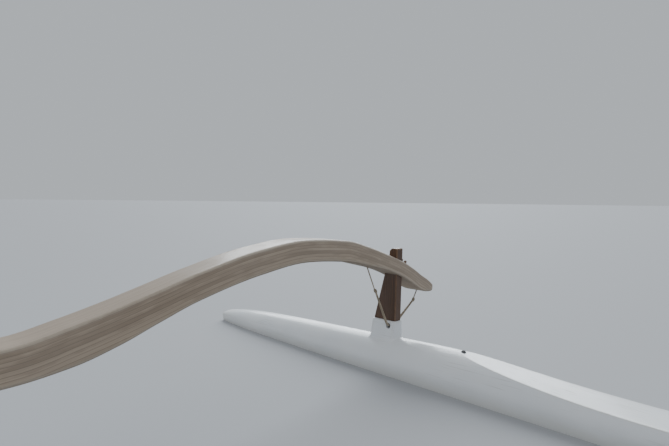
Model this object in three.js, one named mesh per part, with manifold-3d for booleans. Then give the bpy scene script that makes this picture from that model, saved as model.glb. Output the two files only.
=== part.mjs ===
// A four-seat outrigger canoe, afloat: a slender open hull, two curved booms lashed across it and a float
// carried on posts to port. Sizes are in millimetres. +X is the bow, +Y the float's side and +Z up, and the
// origin is on the hull's centreline, amidships, at the waterline.

import * as THREE from "three";
import { mergeVertices } from "three/addons/utils/BufferGeometryUtils.js";
import Module from "manifold-3d";

const wasm = await Module();
wasm.setup();

// The clearance that pieces keep where one rests on another, a length past the whole canoe, and the
// number of sides of a round piece
const FIT = 0.4;
const BEYOND = 6000;
const ROUND_SIDES = 24;

// Hull: half its length, the length of the fine ends that get their own stations, the skin and the open bay
const HALF_LENGTH = 5000;
const FINE_END = 250;
const HULL_STEPS = 50;
const WALL = 8;
const COCKPIT_AFT = -2500;
const COCKPIT_FORE = 2450;
const OPEN_TOP = 120;
const BILGE_RISE = 0.46;
const BILGE_FULLNESS = 0.8;
const BILGE_STEPS = 10;

// Decks, with the splashboards that stand on them
const DECK_OVERHANG = 130;
const DECK_EDGE = 14;
const DECK_CROWN = 46;
const DECK_STEPS = 10;
const UNDER_DECK = 80;
const SPLASH_HEIGHT = 95;
const SPLASH_END_HEIGHT = 42;
const SPLASH_THICK = 18;
const SPLASH_LEAN = 14;
const SPLASH_SETBACK = 60;
const SPLASH_RAKE = 260;
const SPLASH_MARGIN = 16;
const SPLASH_SINK = 30;
const SPLASH_STEPS = 16;

// Gunwales: how wide and high the rails are, how far they stand out and how much their corners are eased
const GUNWALE_WIDTH = 32;
const GUNWALE_HEIGHT = 26;
const GUNWALE_PROUD = 5;
const GUNWALE_EASE = 6;

// Seats, and the two long rails that they lie on
const SEAT_X = { seat_1: 1750, seat_2: 550, seat_3: -640, seat_4: -1850 };
const SEAT_LENGTH = 250;
const SEAT_THICK = 22;
const SEAT_TOP = 196;
const SEAT_RAIL_AFT = -2150;
const SEAT_RAIL_FORE = 2050;
const SEAT_RAIL_DEPTH = 26;
const SEAT_RAIL_WIDTH = 22;

// Round hatches on the bulkheads
const HATCH_RADIUS = 62;
const HATCH_THICK = 12;
const HATCH_Z = 110;

// Booms, and what binds them to the hull
const BOOM_WIDTH = 116;
const BOOM_X = { front: 1058, rear: -1058 };
const BOOM_EASE = 5;
const BOOM_UNDER_EASE = 9;
const BOOM_TIP_EASE = 16;
const BOOM_TIP_RUN = 60;
const BOOM_STEPS = 90;
const SPREADER_TOP = 306;
const SPREADER_THICK = 22;
const SPREADER_WIDTH = 108;
const LASHING_Y = 150;
const LASHING_WIDTH = 66;
const ROPE_TURN = 7;

// Posts: places along the hull are measured from the boom's forward face. The aft edge leans forward from
// the shoulder up to the top of the rake and is upright above it.
const FLOAT_Y = 2040;
const POST_THICK = 44;
const POST_FORE = -17;
const POST_HEAD_FORE = -11;
const POST_BASE_AFT = -132;
const POST_HEAD_AFT = -53;
const POST_SHOULDER = 222;
const POST_RAKE_TOP = 520;
const POST_HEAD = 544;
const POST_CORNER = 12;
const TENON_FOOT = 168;

// Wedges between post and boom
const WEDGE_WIDTH = 40;
const WEDGE_AFT = -60.5;
const WEDGE_FOOT = 425;
const WEDGE_FOOT_THICK = 3;
const WEDGE_TOP = 497;
const WEDGE_TOP_THICK = 18;

// Pedestals: the wall round the tenon, and how much wider it grows for each millimetre down
const PEDESTAL_WALL = 9;
const PEDESTAL_FLARE = 0.12;
const PEDESTAL_FOOT = 70;
const PEDESTAL_NOSE = 0.55;
const PEDESTAL_HEEL = 0.4;
const PEDESTAL_STEPS = 8;

// Stays: one rope that hangs through a hole in the boom from a stopper knot, and is doubled from a second
// knot down to the hole through the pedestal
const STAY_RADIUS = 3;
const STAY_BORE_RADIUS = 5;
const STAY_STOPPER_RADIUS = 8;
const STAY_BEND = 2;
const STAY_KNOT_RADIUS = 6;
const STAY_KNOT_X = -53;
const STAY_KNOT_SPREAD = 2;
const STAY_FOOT_SPREAD = 3.75;
const STAY_STEPS = 10;
const STAY_CORNERS = 4;
const STAY_BALL_SIDES = 12;
const STAY_HOLE_RADIUS = 12;
const STAY_HOLE_X = -45;
const STAY_HOLE_Z = 200;
const STAY_END = 6;
const STAYS = [
  // name, side of the post, place of the hole along the boom, place and height of the knot
  ["inboard", -1, 1869, 1921, 367],
  ["outboard", 1, 2250, 2216, 285],
];

// Float: the stations along its tail, its long run and its nose, the flat scoop in its top and its drain plug
const FLOAT_TAIL = [-2310, -2302, -2292, -2250, -2200, -2100];
const FLOAT_RUN = 2000;
const FLOAT_RUN_STEPS = 50;
const FLOAT_NOSE = [2100, 2180, 2240, 2290];
const SCOOP_HALF_LENGTH = 710;
const SCOOP_DEPTH = 56;
const RIDGE_ANGLE = 0.13;
const FLOAT_STEPS = 10;
const PLUG_X = -698;
const PLUG_RADIUS = 11;
const PLUG_HEIGHT = 6;
const PLUG_DEPTH = 12;

// Sections of the hull, from stern to bow
const HULL_SECTIONS = [
  // x, half breadth at the sheer, sheer height, half breadth at the bilge, keel
  [-5000, 10, 466, 8, 330],
  [-4930, 26, 456, 18, 120],
  [-4760, 52, 436, 36, -8],
  [-4400, 90, 402, 70, -72],
  [-3700, 145, 362, 124, -118],
  [-2600, 206, 326, 186, -146],
  [-1300, 240, 314, 216, -158],
  [0, 246, 314, 222, -162],
  [1300, 240, 314, 214, -160],
  [2600, 204, 332, 180, -150],
  [3700, 142, 380, 118, -124],
  [4400, 88, 434, 64, -80],
  [4760, 50, 474, 32, -14],
  [4930, 25, 496, 16, 120],
  [5000, 10, 506, 8, 350],
];

// Sections of the float, from tail to nose
const FLOAT_SECTIONS = [
  // x, half beam, ridge, height of the widest place, keel
  [-2310, 52, 53, 40, -36],
  [-2292, 55, 57, 40, -46],
  [-2200, 66, 73, 40, -64],
  [-2000, 80, 96, 40, -84],
  [-1700, 88, 115, 42, -97],
  [-1300, 94, 132, 45, -106],
  [-710, 96, 156, 50, -112],
  [0, 96, 161, 50, -114],
  [710, 95, 156, 50, -112],
  [1300, 90, 155, 46, -100],
  [1700, 80, 176, 60, -72],
  [2000, 64, 214, 96, -18],
  [2200, 42, 252, 150, 62],
  [2290, 20, 274, 204, 140],
];

// Side view of a boom, from the hull out to the tip
const BOOM_OUTLINE = [
  // y, top, bottom
  [-330, 418, 350],
  [-250, 425, 341],
  [120, 425, 341],
  [430, 425, 341],
  [600, 431, 343.5],
  [720, 454, 356],
  [825, 480, 383],
  [930, 509.5, 421],
  [1047, 543, 461],
  [1270, 593, 511],
  [1460, 613, 533],
  [1680, 599, 517],
  [1820, 565, 487],
  [1940, 526.5, 457],
  [2058, 485, 415],
  [2150, 441.5, 369],
  [2204, 411.5, 341],
  [2260, 384, 324],
  [2304, 356, 320],
];

// Where a stay's strands come down to the pedestal and turn into its hole
const STAY_PATH = [
  // how far outside the pedestal, how far above the hole
  [14, 18],
  [3, 4],
  [-6, 0],
];

const FINISHES = {
  hull_white: [0xdfe3e6, 0.35, 0],
  deck_white: [0xe8edf1, 0.4, 0],
  varnished_wood: [0x8a5a33, 0.3, 0],
  weathered_wood: [0xa08f7d, 0.6, 0],
  post_wood: [0x5d3a20, 0.45, 0],
  seat_wood: [0xa8794a, 0.4, 0],
  rope: [0xcfc6b2, 0.9, 0],
  black_plastic: [0x1c1d1f, 0.5, 0],
};

const canoe = new THREE.Group();

function solidOf(geometry) {
  const bare = geometry.index ? geometry.toNonIndexed() : geometry.clone();
  for (const name of Object.keys(bare.attributes)) {
    if (name !== "position") bare.deleteAttribute(name);
  }
  const merged = mergeVertices(bare, 1e-4);
  return new wasm.Manifold(
    new wasm.Mesh({
      numProp: 3,
      vertProperties: new Float32Array(merged.attributes.position.array),
      triVerts: new Uint32Array(merged.index.array),
    }),
  );
}

function geometryOf(solid) {
  const mesh = solid.getMesh();
  const geometry = new THREE.BufferGeometry();
  geometry.setAttribute("position", new THREE.BufferAttribute(new Float32Array(mesh.vertProperties), 3));
  geometry.setIndex(new THREE.BufferAttribute(new Uint32Array(mesh.triVerts), 1));
  return geometry;
}

function place(name, shape, finish) {
  const [color, roughness, metalness] = FINISHES[finish];
  const geometry = shape.isBufferGeometry ? shape : geometryOf(shape);
  geometry.computeVertexNormals();
  const mesh = new THREE.Mesh(geometry, new THREE.MeshStandardMaterial({ color, roughness, metalness }));
  mesh.name = name;
  canoe.add(mesh);
}

// A block given by its lowest and highest corner
function block(low, high) {
  const size = high.map((value, axis) => value - low[axis]);
  const box = new THREE.BoxGeometry(...size);
  box.translate(...high.map((value, axis) => (value + low[axis]) / 2));
  return solidOf(box);
}

// A skin over rings of points, closed by a flat cap at each end. Each ring runs counter-clockwise
// for someone who looks back along the rings.
function loft(rings) {
  const count = rings[0].length;
  const points = rings.flat();
  const faces = [];
  for (let row = 0; row < rings.length - 1; row++) {
    for (let k = 0; k < count; k++) {
      const next = (k + 1) % count;
      const [a, b, c, d] = [k, next, next + count, k + count].map((index) => index + row * count);
      faces.push(a, b, c, a, c, d);
    }
  }
  const last = (rings.length - 1) * count;
  for (const [ring, start, forward] of [[rings[0], 0, false], [rings[rings.length - 1], last, true]]) {
    const middle = ring.reduce((sum, point) => sum.add(point), new THREE.Vector3()).divideScalar(count);
    const hub = points.push(middle) - 1;
    for (let k = 0; k < count; k++) {
      const pair = [start + k, start + ((k + 1) % count)];
      faces.push(hub, ...(forward ? pair : pair.reverse()));
    }
  }
  const geometry = new THREE.BufferGeometry().setFromPoints(points);
  geometry.setIndex(faces);
  return solidOf(geometry);
}

// A smooth value between the rows of a table, which never swings past them
function column(table, index) {
  const slopes = table.map((row, k) => {
    if (k === 0 || k === table.length - 1) return null;
    const before = (row[index] - table[k - 1][index]) / (row[0] - table[k - 1][0]);
    const after = (table[k + 1][index] - row[index]) / (table[k + 1][0] - row[0]);
    return before * after <= 0 ? 0 : (2 * before * after) / (before + after);
  });
  return (x) => {
    let k = 0;
    while (k < table.length - 2 && x > table[k + 1][0]) k++;
    const [low, high] = [table[k], table[k + 1]];
    const span = high[0] - low[0];
    const t = (x - low[0]) / span;
    const chord = (high[index] - low[index]) / span;
    const slopeLow = slopes[k] ?? 1.5 * chord - 0.5 * (slopes[k + 1] ?? chord);
    const slopeHigh = slopes[k + 1] ?? 1.5 * chord - 0.5 * slopeLow;
    const [t2, t3] = [t * t, t * t * t];
    return (
      low[index] * (2 * t3 - 3 * t2 + 1) +
      high[index] * (3 * t2 - 2 * t3) +
      span * (slopeLow * (t3 - 2 * t2 + t) + slopeHigh * (t3 - t2))
    );
  };
}

function evenly(from, to, steps) {
  return Array.from({ length: steps + 1 }, (_, k) => from + ((to - from) * k) / steps);
}

// Hull: a rounded bilge below a plain side that flares up to the sheer
const sheerHalf = column(HULL_SECTIONS, 1);
const sheerHeight = column(HULL_SECTIONS, 2);
const bilgeHalf = column(HULL_SECTIONS, 3);
const keelHeight = column(HULL_SECTIONS, 4);

function hullRing(x, inset, extraTop) {
  const keel = keelHeight(x) + inset;
  const sheer = sheerHeight(x);
  const bilge = keelHeight(x) + BILGE_RISE * (sheer - keelHeight(x));
  const width = bilgeHalf(x) - inset;
  const side = evenly(0, Math.PI / 2, BILGE_STEPS).map((angle) => [
    width * Math.sin(angle) ** BILGE_FULLNESS,
    bilge - (bilge - keel) * Math.cos(angle) ** BILGE_FULLNESS,
  ]);
  const flare = (sheerHalf(x) - bilgeHalf(x)) / (sheer - bilge);
  side.push([width + flare * (sheer + extraTop - bilge), sheer + extraTop]);
  const port = side.map(([y, z]) => new THREE.Vector3(x, y, z));
  const starboard = side.slice(1).reverse().map(([y, z]) => new THREE.Vector3(x, -y, z));
  return [...port, ...starboard];
}

// Stations along the hull, closer together towards the ends
const END_STATIONS = [0, 0.14, 0.28, 0.6].map((part) => HALF_LENGTH - part * FINE_END);
const HULL_STATIONS = [
  ...END_STATIONS.map((x) => -x),
  ...evenly(FINE_END - HALF_LENGTH, HALF_LENGTH - FINE_END, HULL_STEPS),
  ...END_STATIONS.reverse(),
];

// The stations from one place to another, with both of those places, but none close beside them
function stationsBetween(from, to) {
  const least = 2 * WALL;
  return [from, ...HULL_STATIONS.filter((x) => x > from + least && x < to - least), to];
}

// The room inside the hull, held back from its outer skin by the inset and open at the top
function cavity(inset) {
  const stations = stationsBetween(COCKPIT_AFT + inset - WALL, COCKPIT_FORE - inset + WALL);
  return loft(stations.map((x) => hullRing(x, inset, OPEN_TOP)));
}

const hullBody = loft(HULL_STATIONS.map((x) => hullRing(x, 0, 0)));
place("hull_shell", hullBody.subtract(cavity(WALL)), "hull_white");
const insideHull = cavity(WALL + FIT);

// Decks: crowned covers over the closed ends, which reach a little way over the cockpit
function deckTop(x, y) {
  const half = sheerHalf(x);
  const crown = DECK_CROWN * Math.min(1, half / sheerHalf(COCKPIT_FORE));
  return sheerHeight(x) + FIT + DECK_EDGE + crown * (1 - (y / half) ** 2);
}

function deck(from, to, lift, drop) {
  return loft(
    stationsBetween(from, to).map((x) => {
      const half = sheerHalf(x);
      const base = sheerHeight(x) + FIT - drop;
      const top = evenly(half, -half, DECK_STEPS).map((y) => [y, deckTop(x, y) + lift]);
      return [[half, base], ...top, [-half, base]].map(([y, z]) => new THREE.Vector3(x, y, z));
    }),
  );
}

// Splashboards: two low boards that meet in a V and turn water away from the cockpit
function splashboard(edge, toward, under) {
  const ends = edge + toward * SPLASH_SETBACK;
  const reach = sheerHalf(ends) - SPLASH_MARGIN;
  const boards = evenly(-1, 1, SPLASH_STEPS).map((side) => {
    const x = ends + toward * SPLASH_RAKE * (1 - Math.abs(side));
    const y = side * reach;
    const foot = deckTop(x, y) - SPLASH_SINK;
    const head = deckTop(x, y) + SPLASH_HEIGHT - (SPLASH_HEIGHT - SPLASH_END_HEIGHT) * side * side;
    const half = SPLASH_THICK / 2;
    return [
      [x - half, foot],
      [x - half + toward * SPLASH_LEAN, head],
      [x + half + toward * SPLASH_LEAN, head],
      [x + half, foot],
    ].map(([boardX, z]) => new THREE.Vector3(boardX, y, z));
  });
  return loft(boards).subtract(under);
}

const deckFore = COCKPIT_FORE - DECK_OVERHANG;
const deckAft = COCKPIT_AFT + DECK_OVERHANG;
place("bow_deck", deck(deckFore, HALF_LENGTH, 0, 0), "deck_white");
place("stern_deck", deck(-HALF_LENGTH, deckAft, 0, 0), "deck_white");
const underBow = deck(deckFore, HALF_LENGTH, FIT, UNDER_DECK);
const underStern = deck(-HALF_LENGTH, deckAft, FIT, UNDER_DECK);
place("bow_splashboard", splashboard(deckFore, 1, underBow), "varnished_wood");
place("stern_splashboard", splashboard(deckAft, -1, underStern), "varnished_wood");

// Gunwales: a wooden rail on top of each side, along the cockpit
function gunwale(side) {
  return loft(
    stationsBetween(deckAft + FIT, deckFore - FIT).map((x) => {
      const outer = sheerHalf(x) + GUNWALE_PROUD;
      const inner = outer - GUNWALE_WIDTH;
      const low = sheerHeight(x) + FIT;
      const high = low + GUNWALE_HEIGHT;
      const ring = [
        [inner, low],
        [outer, low],
        [outer, high - GUNWALE_EASE],
        [outer - GUNWALE_EASE, high],
        [inner + GUNWALE_EASE, high],
        [inner, high - GUNWALE_EASE],
      ].map(([y, z]) => new THREE.Vector3(x, side * y, z));
      return side > 0 ? ring : ring.reverse();
    }),
  );
}

place("gunwale_port", gunwale(1), "varnished_wood");
place("gunwale_starboard", gunwale(-1), "varnished_wood");

// Seats: boards cut to the hull's inner sides
const seatFoot = SEAT_TOP - SEAT_THICK;
for (const [name, x] of Object.entries(SEAT_X)) {
  const [aft, fore] = [x - SEAT_LENGTH / 2, x + SEAT_LENGTH / 2];
  const board = block([aft, -BEYOND, seatFoot], [fore, BEYOND, SEAT_TOP]);
  place(name, board.intersect(insideHull), "seat_wood");
}

// Seat rails: a strip of wood along each inner side, under the seats
const railTop = seatFoot - FIT;
const insideRails = cavity(WALL + FIT + SEAT_RAIL_WIDTH);
for (const [name, low, high] of [["seat_rail_port", 0, BEYOND], ["seat_rail_starboard", -BEYOND, 0]]) {
  const run = block([SEAT_RAIL_AFT, low, railTop - SEAT_RAIL_DEPTH], [SEAT_RAIL_FORE, high, railTop]);
  place(name, run.intersect(insideHull).subtract(insideRails), "seat_wood");
}

// Hatches: round lids on the two bulkheads
for (const [name, wall, toward] of [["hatch_stern", COCKPIT_AFT, 1], ["hatch_bow", COCKPIT_FORE, -1]]) {
  const lid = new THREE.CylinderGeometry(HATCH_RADIUS, HATCH_RADIUS, HATCH_THICK, ROUND_SIDES);
  lid.rotateZ(Math.PI / 2);
  lid.translate(wall + toward * (HATCH_THICK / 2 + FIT), 0, HATCH_Z);
  place(name, lid, "black_plastic");
}

// Booms: one curved laminated beam each, flat where it crosses the hull and cut square at the tip, where
// its lower edges are eased more
const boomTop = column(BOOM_OUTLINE, 1);
const boomBottom = column(BOOM_OUTLINE, 2);
const boomStart = BOOM_OUTLINE[0][0];
const boomTip = BOOM_OUTLINE[BOOM_OUTLINE.length - 1][0];

const boomBody = loft(
  evenly(boomStart, boomTip, BOOM_STEPS).map((y) => {
    const [half, low, high] = [BOOM_WIDTH / 2, boomBottom(y), boomTop(y)];
    const nearTip = Math.max(0, 1 - (boomTip - y) / BOOM_TIP_RUN);
    const under = BOOM_UNDER_EASE + (BOOM_TIP_EASE - BOOM_UNDER_EASE) * nearTip;
    return [
      [-half, low + under],
      [-half, high - BOOM_EASE],
      [-half + BOOM_EASE, high],
      [half - BOOM_EASE, high],
      [half, high - BOOM_EASE],
      [half, low + under],
      [half - under, low],
      [-half + under, low],
    ].map(([x, z]) => new THREE.Vector3(x, y, z));
  }),
);

// A board cut to a side view in X and Z, between two places across the canoe
function plate(points, low, high) {
  const outline = new THREE.Shape(points.map(([x, z]) => new THREE.Vector2(x, z)));
  const board = new THREE.ExtrudeGeometry(outline, { depth: high - low, steps: 1, bevelEnabled: false });
  board.rotateX(Math.PI / 2);
  board.translate(0, high, 0);
  return solidOf(board);
}

// Post: a board that stands fore and aft, its aft edge raked and the aft corner of its head cut off
function post(face, grow) {
  const aft = face - grow;
  const fore = face + grow;
  const outline = [
    [aft + POST_BASE_AFT, TENON_FOOT - grow],
    [fore + POST_FORE, TENON_FOOT - grow],
    [fore + POST_FORE, POST_SHOULDER],
    [fore + POST_HEAD_FORE, POST_HEAD],
    [aft + POST_HEAD_AFT + POST_CORNER, POST_HEAD],
    [aft + POST_HEAD_AFT, POST_HEAD - POST_CORNER],
    [aft + POST_HEAD_AFT, POST_RAKE_TOP],
    [aft + POST_BASE_AFT, POST_SHOULDER],
  ];
  const half = POST_THICK / 2 + grow;
  return plate(outline, FLOAT_Y - half, FLOAT_Y + half);
}

// Wedge: driven down between the post and the boom, on the outboard side
function wedge(face, grow) {
  const inner = FLOAT_Y + POST_THICK / 2 + FIT;
  const aft = face + WEDGE_AFT - grow;
  const fore = face + WEDGE_AFT + WEDGE_WIDTH + grow;
  const rings = [
    [WEDGE_FOOT - grow, inner + WEDGE_FOOT_THICK + grow],
    [WEDGE_TOP, inner + WEDGE_TOP_THICK + grow],
  ].map(([z, outer]) =>
    [
      [aft, inner - grow],
      [fore, inner - grow],
      [fore, outer],
      [aft, outer],
    ].map(([x, y]) => new THREE.Vector3(x, y, z)),
  );
  return loft(rings);
}

// Pedestal: a hollow foot of the float's own moulding, round at both ends, that takes the post's tenon
const pedestalWall = (z) => PEDESTAL_WALL + PEDESTAL_FLARE * (POST_SHOULDER - z);

function pedestalRing(face, z) {
  const aft = face + POST_BASE_AFT - pedestalWall(z);
  const fore = face + POST_FORE + PEDESTAL_WALL;
  const half = POST_THICK / 2 + pedestalWall(z);
  const [nose, heel] = [PEDESTAL_NOSE * half, PEDESTAL_HEEL * half];
  const front = evenly(-Math.PI / 2, Math.PI / 2, PEDESTAL_STEPS).map((angle) => [
    fore - nose + nose * Math.cos(angle),
    half * Math.sin(angle),
  ]);
  const back = evenly(Math.PI / 2, 1.5 * Math.PI, PEDESTAL_STEPS).map((angle) => [
    aft + heel + heel * Math.cos(angle),
    half * Math.sin(angle),
  ]);
  return [...front, ...back].map(([x, y]) => new THREE.Vector3(x, FLOAT_Y + y, z));
}

// Float: a rounded body whose top is cut down to a long flat scoop between the booms
const floatHalf = column(FLOAT_SECTIONS, 1);
const floatRidge = column(FLOAT_SECTIONS, 2);
const floatWaist = column(FLOAT_SECTIONS, 3);
const floatKeel = column(FLOAT_SECTIONS, 4);

function floatRing(x, grow) {
  const waist = floatWaist(x);
  const half = floatHalf(x) + grow;
  const rise = floatRidge(x) + grow - waist;
  const drop = waist - floatKeel(x) + grow;
  const scoop = SCOOP_DEPTH * (1 - (x / SCOOP_HALF_LENGTH) ** 2);
  const deck = floatRidge(SCOOP_HALF_LENGTH) + grow - scoop;
  const cut = Math.abs(x) < SCOOP_HALF_LENGTH ? Math.acos(Math.min(1, (deck - waist) / rise)) : 0;
  const start = Math.max(RIDGE_ANGLE, cut);
  const upper = evenly(Math.PI / 2, start, FLOAT_STEPS).map((angle) => [
    half * Math.sin(angle),
    waist + rise * Math.cos(angle),
  ]);
  const lower = evenly(Math.PI, Math.PI / 2, FLOAT_STEPS).slice(0, -1).map((angle) => [
    half * Math.sin(angle),
    waist + drop * Math.cos(angle),
  ]);
  const outboard = [...lower, ...upper];
  const inboard = outboard.slice(1).reverse().map(([y, z]) => [-y, z]);
  return [...outboard, ...inboard].map(([y, z]) => new THREE.Vector3(x, FLOAT_Y + y, z));
}

const floatStations = [...FLOAT_TAIL, ...evenly(-FLOAT_RUN, FLOAT_RUN, FLOAT_RUN_STEPS), ...FLOAT_NOSE];
const floatBody = (grow) => loft(floatStations.map((x) => floatRing(x, grow)));

function plug(radius, low, high) {
  const cylinder = new THREE.CylinderGeometry(radius, radius, high - low, ROUND_SIDES);
  cylinder.rotateX(Math.PI / 2);
  cylinder.translate(PLUG_X, FLOAT_Y, (low + high) / 2);
  return solidOf(cylinder);
}

const plugFoot = floatRidge(PLUG_X) - PLUG_DEPTH;
place("float", floatBody(0).subtract(plug(PLUG_RADIUS + FIT, plugFoot - FIT, BEYOND)), "hull_white");
place("float_plug", plug(PLUG_RADIUS, plugFoot, floatRidge(PLUG_X) + PLUG_HEIGHT), "black_plastic");

// A rope strand along a few points, as a round bar
function strand(points, steps) {
  const path = new THREE.CatmullRomCurve3(points);
  const section = new THREE.Shape().absarc(0, 0, STAY_RADIUS, 0, 2 * Math.PI);
  const bar = { extrudePath: path, steps, curveSegments: STAY_CORNERS };
  return solidOf(new THREE.ExtrudeGeometry(section, bar));
}

function ball(radius, centre) {
  return solidOf(new THREE.SphereGeometry(radius, STAY_BALL_SIDES, STAY_BALL_SIDES / 2).translate(...centre));
}

// A solid carried along the canoe
function moved(solid, x) {
  return solidOf(geometryOf(solid).translate(x, 0, 0));
}

// Lashing: a band of rope turns round the boom and the spreader under it
function lashing(x, y) {
  const low = SPREADER_TOP - SPREADER_THICK - FIT;
  const high = boomTop(0) + FIT;
  const reach = BOOM_WIDTH / 2 + FIT;
  const half = LASHING_WIDTH / 2;
  const inside = block([x - reach, -BEYOND, low], [x + reach, BEYOND, high]);
  const band = block(
    [x - reach - ROPE_TURN, y - half, low - ROPE_TURN],
    [x + reach + ROPE_TURN, y + half, high + ROPE_TURN],
  );
  return band.subtract(inside);
}

// An upright hole through the boom for a stay
function stayBore(x, y) {
  const bore = new THREE.CylinderGeometry(STAY_BORE_RADIUS, STAY_BORE_RADIUS, BEYOND, ROUND_SIDES);
  return solidOf(bore.rotateX(Math.PI / 2).translate(x, y, 0));
}

// Stay: the stopper knot on the boom, the rope down to the second knot and two strands from there
function stay(x, side, y, knotY, knotZ) {
  const face = x + BOOM_WIDTH / 2;
  const slope = (boomTop(y + 1) - boomTop(y - 1)) / 2;
  const seat = boomTop(y) + (STAY_STOPPER_RADIUS + FIT) * Math.hypot(1, slope);
  const stopper = new THREE.Vector3(x, y, seat);
  const bend = new THREE.Vector3(x, y, boomBottom(y) - STAY_BEND);
  const knot = new THREE.Vector3(face + STAY_KNOT_X, knotY, knotZ);
  const mouth = FLOAT_Y + side * (POST_THICK / 2 + pedestalWall(STAY_HOLE_Z));
  const strands = [-1, 1].map((half) => {
    const footX = face + STAY_HOLE_X + half * STAY_FOOT_SPREAD;
    const down = STAY_PATH.map(([out, up]) => new THREE.Vector3(footX, mouth + side * out, STAY_HOLE_Z + up));
    const head = knot.clone().setX(knot.x + half * STAY_KNOT_SPREAD);
    const middle = head.clone().lerp(down[0], 0.5);
    const end = new THREE.Vector3(footX, FLOAT_Y + side * STAY_END, STAY_HOLE_Z);
    return strand([head, middle, ...down, end], STAY_STEPS);
  });
  const pieces = [
    ball(STAY_STOPPER_RADIUS, stopper),
    strand([stopper, bend], 1),
    ball(STAY_RADIUS, bend),
    strand([bend, knot], 1),
    ball(STAY_KNOT_RADIUS, knot),
    ...strands,
  ];
  return pieces.reduce((whole, piece) => whole.add(piece));
}

const underPedestal = floatBody(FIT);

for (const [end, x] of Object.entries(BOOM_X)) {
  const face = x + BOOM_WIDTH / 2;
  const bore = new THREE.CylinderGeometry(STAY_HOLE_RADIUS, STAY_HOLE_RADIUS, BEYOND, ROUND_SIDES);
  const hole = solidOf(bore.translate(face + STAY_HOLE_X, FLOAT_Y, STAY_HOLE_Z));

  const mortised = moved(boomBody, x).subtract(post(face, FIT)).subtract(wedge(face, FIT));
  const boom = STAYS.reduce((solid, row) => solid.subtract(stayBore(x, row[2])), mortised);
  place(`boom_${end}`, boom, "weathered_wood");
  place(`post_${end}`, post(face, 0).subtract(hole), "post_wood");
  place(`wedge_${end}`, wedge(face, 0), "post_wood");

  const foot = loft([PEDESTAL_FOOT, POST_SHOULDER].map((z) => pedestalRing(face, z)));
  const pedestal = foot.subtract(underPedestal).subtract(post(face, FIT)).subtract(hole);
  place(`pedestal_${end}`, pedestal, "hull_white");

  // The spreader holds the hull's sides apart under the boom
  const spreader = block(
    [x - SPREADER_WIDTH / 2, -BEYOND, SPREADER_TOP - SPREADER_THICK],
    [x + SPREADER_WIDTH / 2, BEYOND, SPREADER_TOP],
  );
  place(`spreader_${end}`, spreader.intersect(insideHull), "seat_wood");
  place(`lashing_${end}_port`, lashing(x, LASHING_Y), "rope");
  place(`lashing_${end}_starboard`, lashing(x, -LASHING_Y), "rope");

  for (const [name, ...places] of STAYS) place(`stay_${end}_${name}`, stay(x, ...places), "rope");
}

export default canoe;
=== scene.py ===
# %% [markdown]
# # Dressing an outrigger canoe
#
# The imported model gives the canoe's true sizes: a slender hull, two curved booms lashed across it, and a
# float on posts. Its solids are plain and faceted. This lesson builds the shown canoe around them, piece by
# piece, from the same sections that the solids were drawn from, so that everything fits without any
# measuring by eye.
#
# Lengths are given in millimetres, as on a boatbuilder's drawing, and a mesh is scaled to metres as it is
# made.

# %% Load the frame
import math
from functools import partial

import bmesh
import bpy
import numpy as np
from mathutils import Matrix, Vector


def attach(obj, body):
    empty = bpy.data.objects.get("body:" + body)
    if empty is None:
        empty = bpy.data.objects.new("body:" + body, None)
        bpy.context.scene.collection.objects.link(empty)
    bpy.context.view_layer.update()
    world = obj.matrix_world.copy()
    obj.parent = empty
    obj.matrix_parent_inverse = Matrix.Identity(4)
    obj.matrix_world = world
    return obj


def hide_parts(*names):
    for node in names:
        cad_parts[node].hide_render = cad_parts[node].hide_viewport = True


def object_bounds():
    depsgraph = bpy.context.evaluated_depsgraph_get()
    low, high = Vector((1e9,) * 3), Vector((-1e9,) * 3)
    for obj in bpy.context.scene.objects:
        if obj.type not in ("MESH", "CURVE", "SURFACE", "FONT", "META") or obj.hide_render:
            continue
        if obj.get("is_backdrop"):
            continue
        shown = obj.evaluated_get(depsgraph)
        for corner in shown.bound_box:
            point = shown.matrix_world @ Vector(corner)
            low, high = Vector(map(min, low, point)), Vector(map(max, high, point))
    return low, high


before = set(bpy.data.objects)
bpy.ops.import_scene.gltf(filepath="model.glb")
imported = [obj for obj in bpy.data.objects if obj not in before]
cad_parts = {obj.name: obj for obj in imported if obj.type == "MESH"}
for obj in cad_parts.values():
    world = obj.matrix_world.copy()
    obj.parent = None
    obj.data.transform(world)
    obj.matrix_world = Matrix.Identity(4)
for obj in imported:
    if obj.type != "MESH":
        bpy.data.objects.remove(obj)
cad_low, cad_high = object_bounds()
MM = 0.001
print(f"{len(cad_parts)} solids in a box of {[round(x, 3) for x in cad_high - cad_low]} m")

# %% [markdown]
# ## The camera
#
# The picture was taken from aboard, with the camera held above the port rail and turned aft towards the
# float. A level, a turn and a tilt could be set as three angles. Here the three directions of the camera
# are worked out instead, because a small roll of the camera is then easy to add on top.

# %% Camera
EYE = (161.7, 350.1, 750.0)
LENS = 25.02
TURN = math.radians(42.853)
PITCH = math.radians(2.721)
ROLL = math.atan(0.0103)
FURTHEST = 900  # how far the camera sees, in metres: past the edge of the floor

level_right = Vector((math.cos(TURN), math.sin(TURN), 0))
level_ahead = Vector((-math.sin(TURN), math.cos(TURN), 0))
ahead = level_ahead * math.cos(PITCH) - Vector((0, 0, math.sin(PITCH)))
level_up = level_right.cross(ahead)
right = level_right * math.cos(ROLL) + level_up * math.sin(ROLL)
up = level_up * math.cos(ROLL) - level_right * math.sin(ROLL)

camera = bpy.data.objects.new("camera", bpy.data.cameras.new("camera"))
camera.data.lens = LENS
camera.data.clip_end = FURTHEST
turned_round = Matrix((right, up, -ahead)).transposed().to_4x4()
camera.matrix_world = Matrix.Translation(Vector(EYE) * MM) @ turned_round
bpy.context.scene.collection.objects.link(camera)
bpy.context.scene.camera = camera
print(f"camera {EYE[2]:.0f} mm over the floor")

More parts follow.
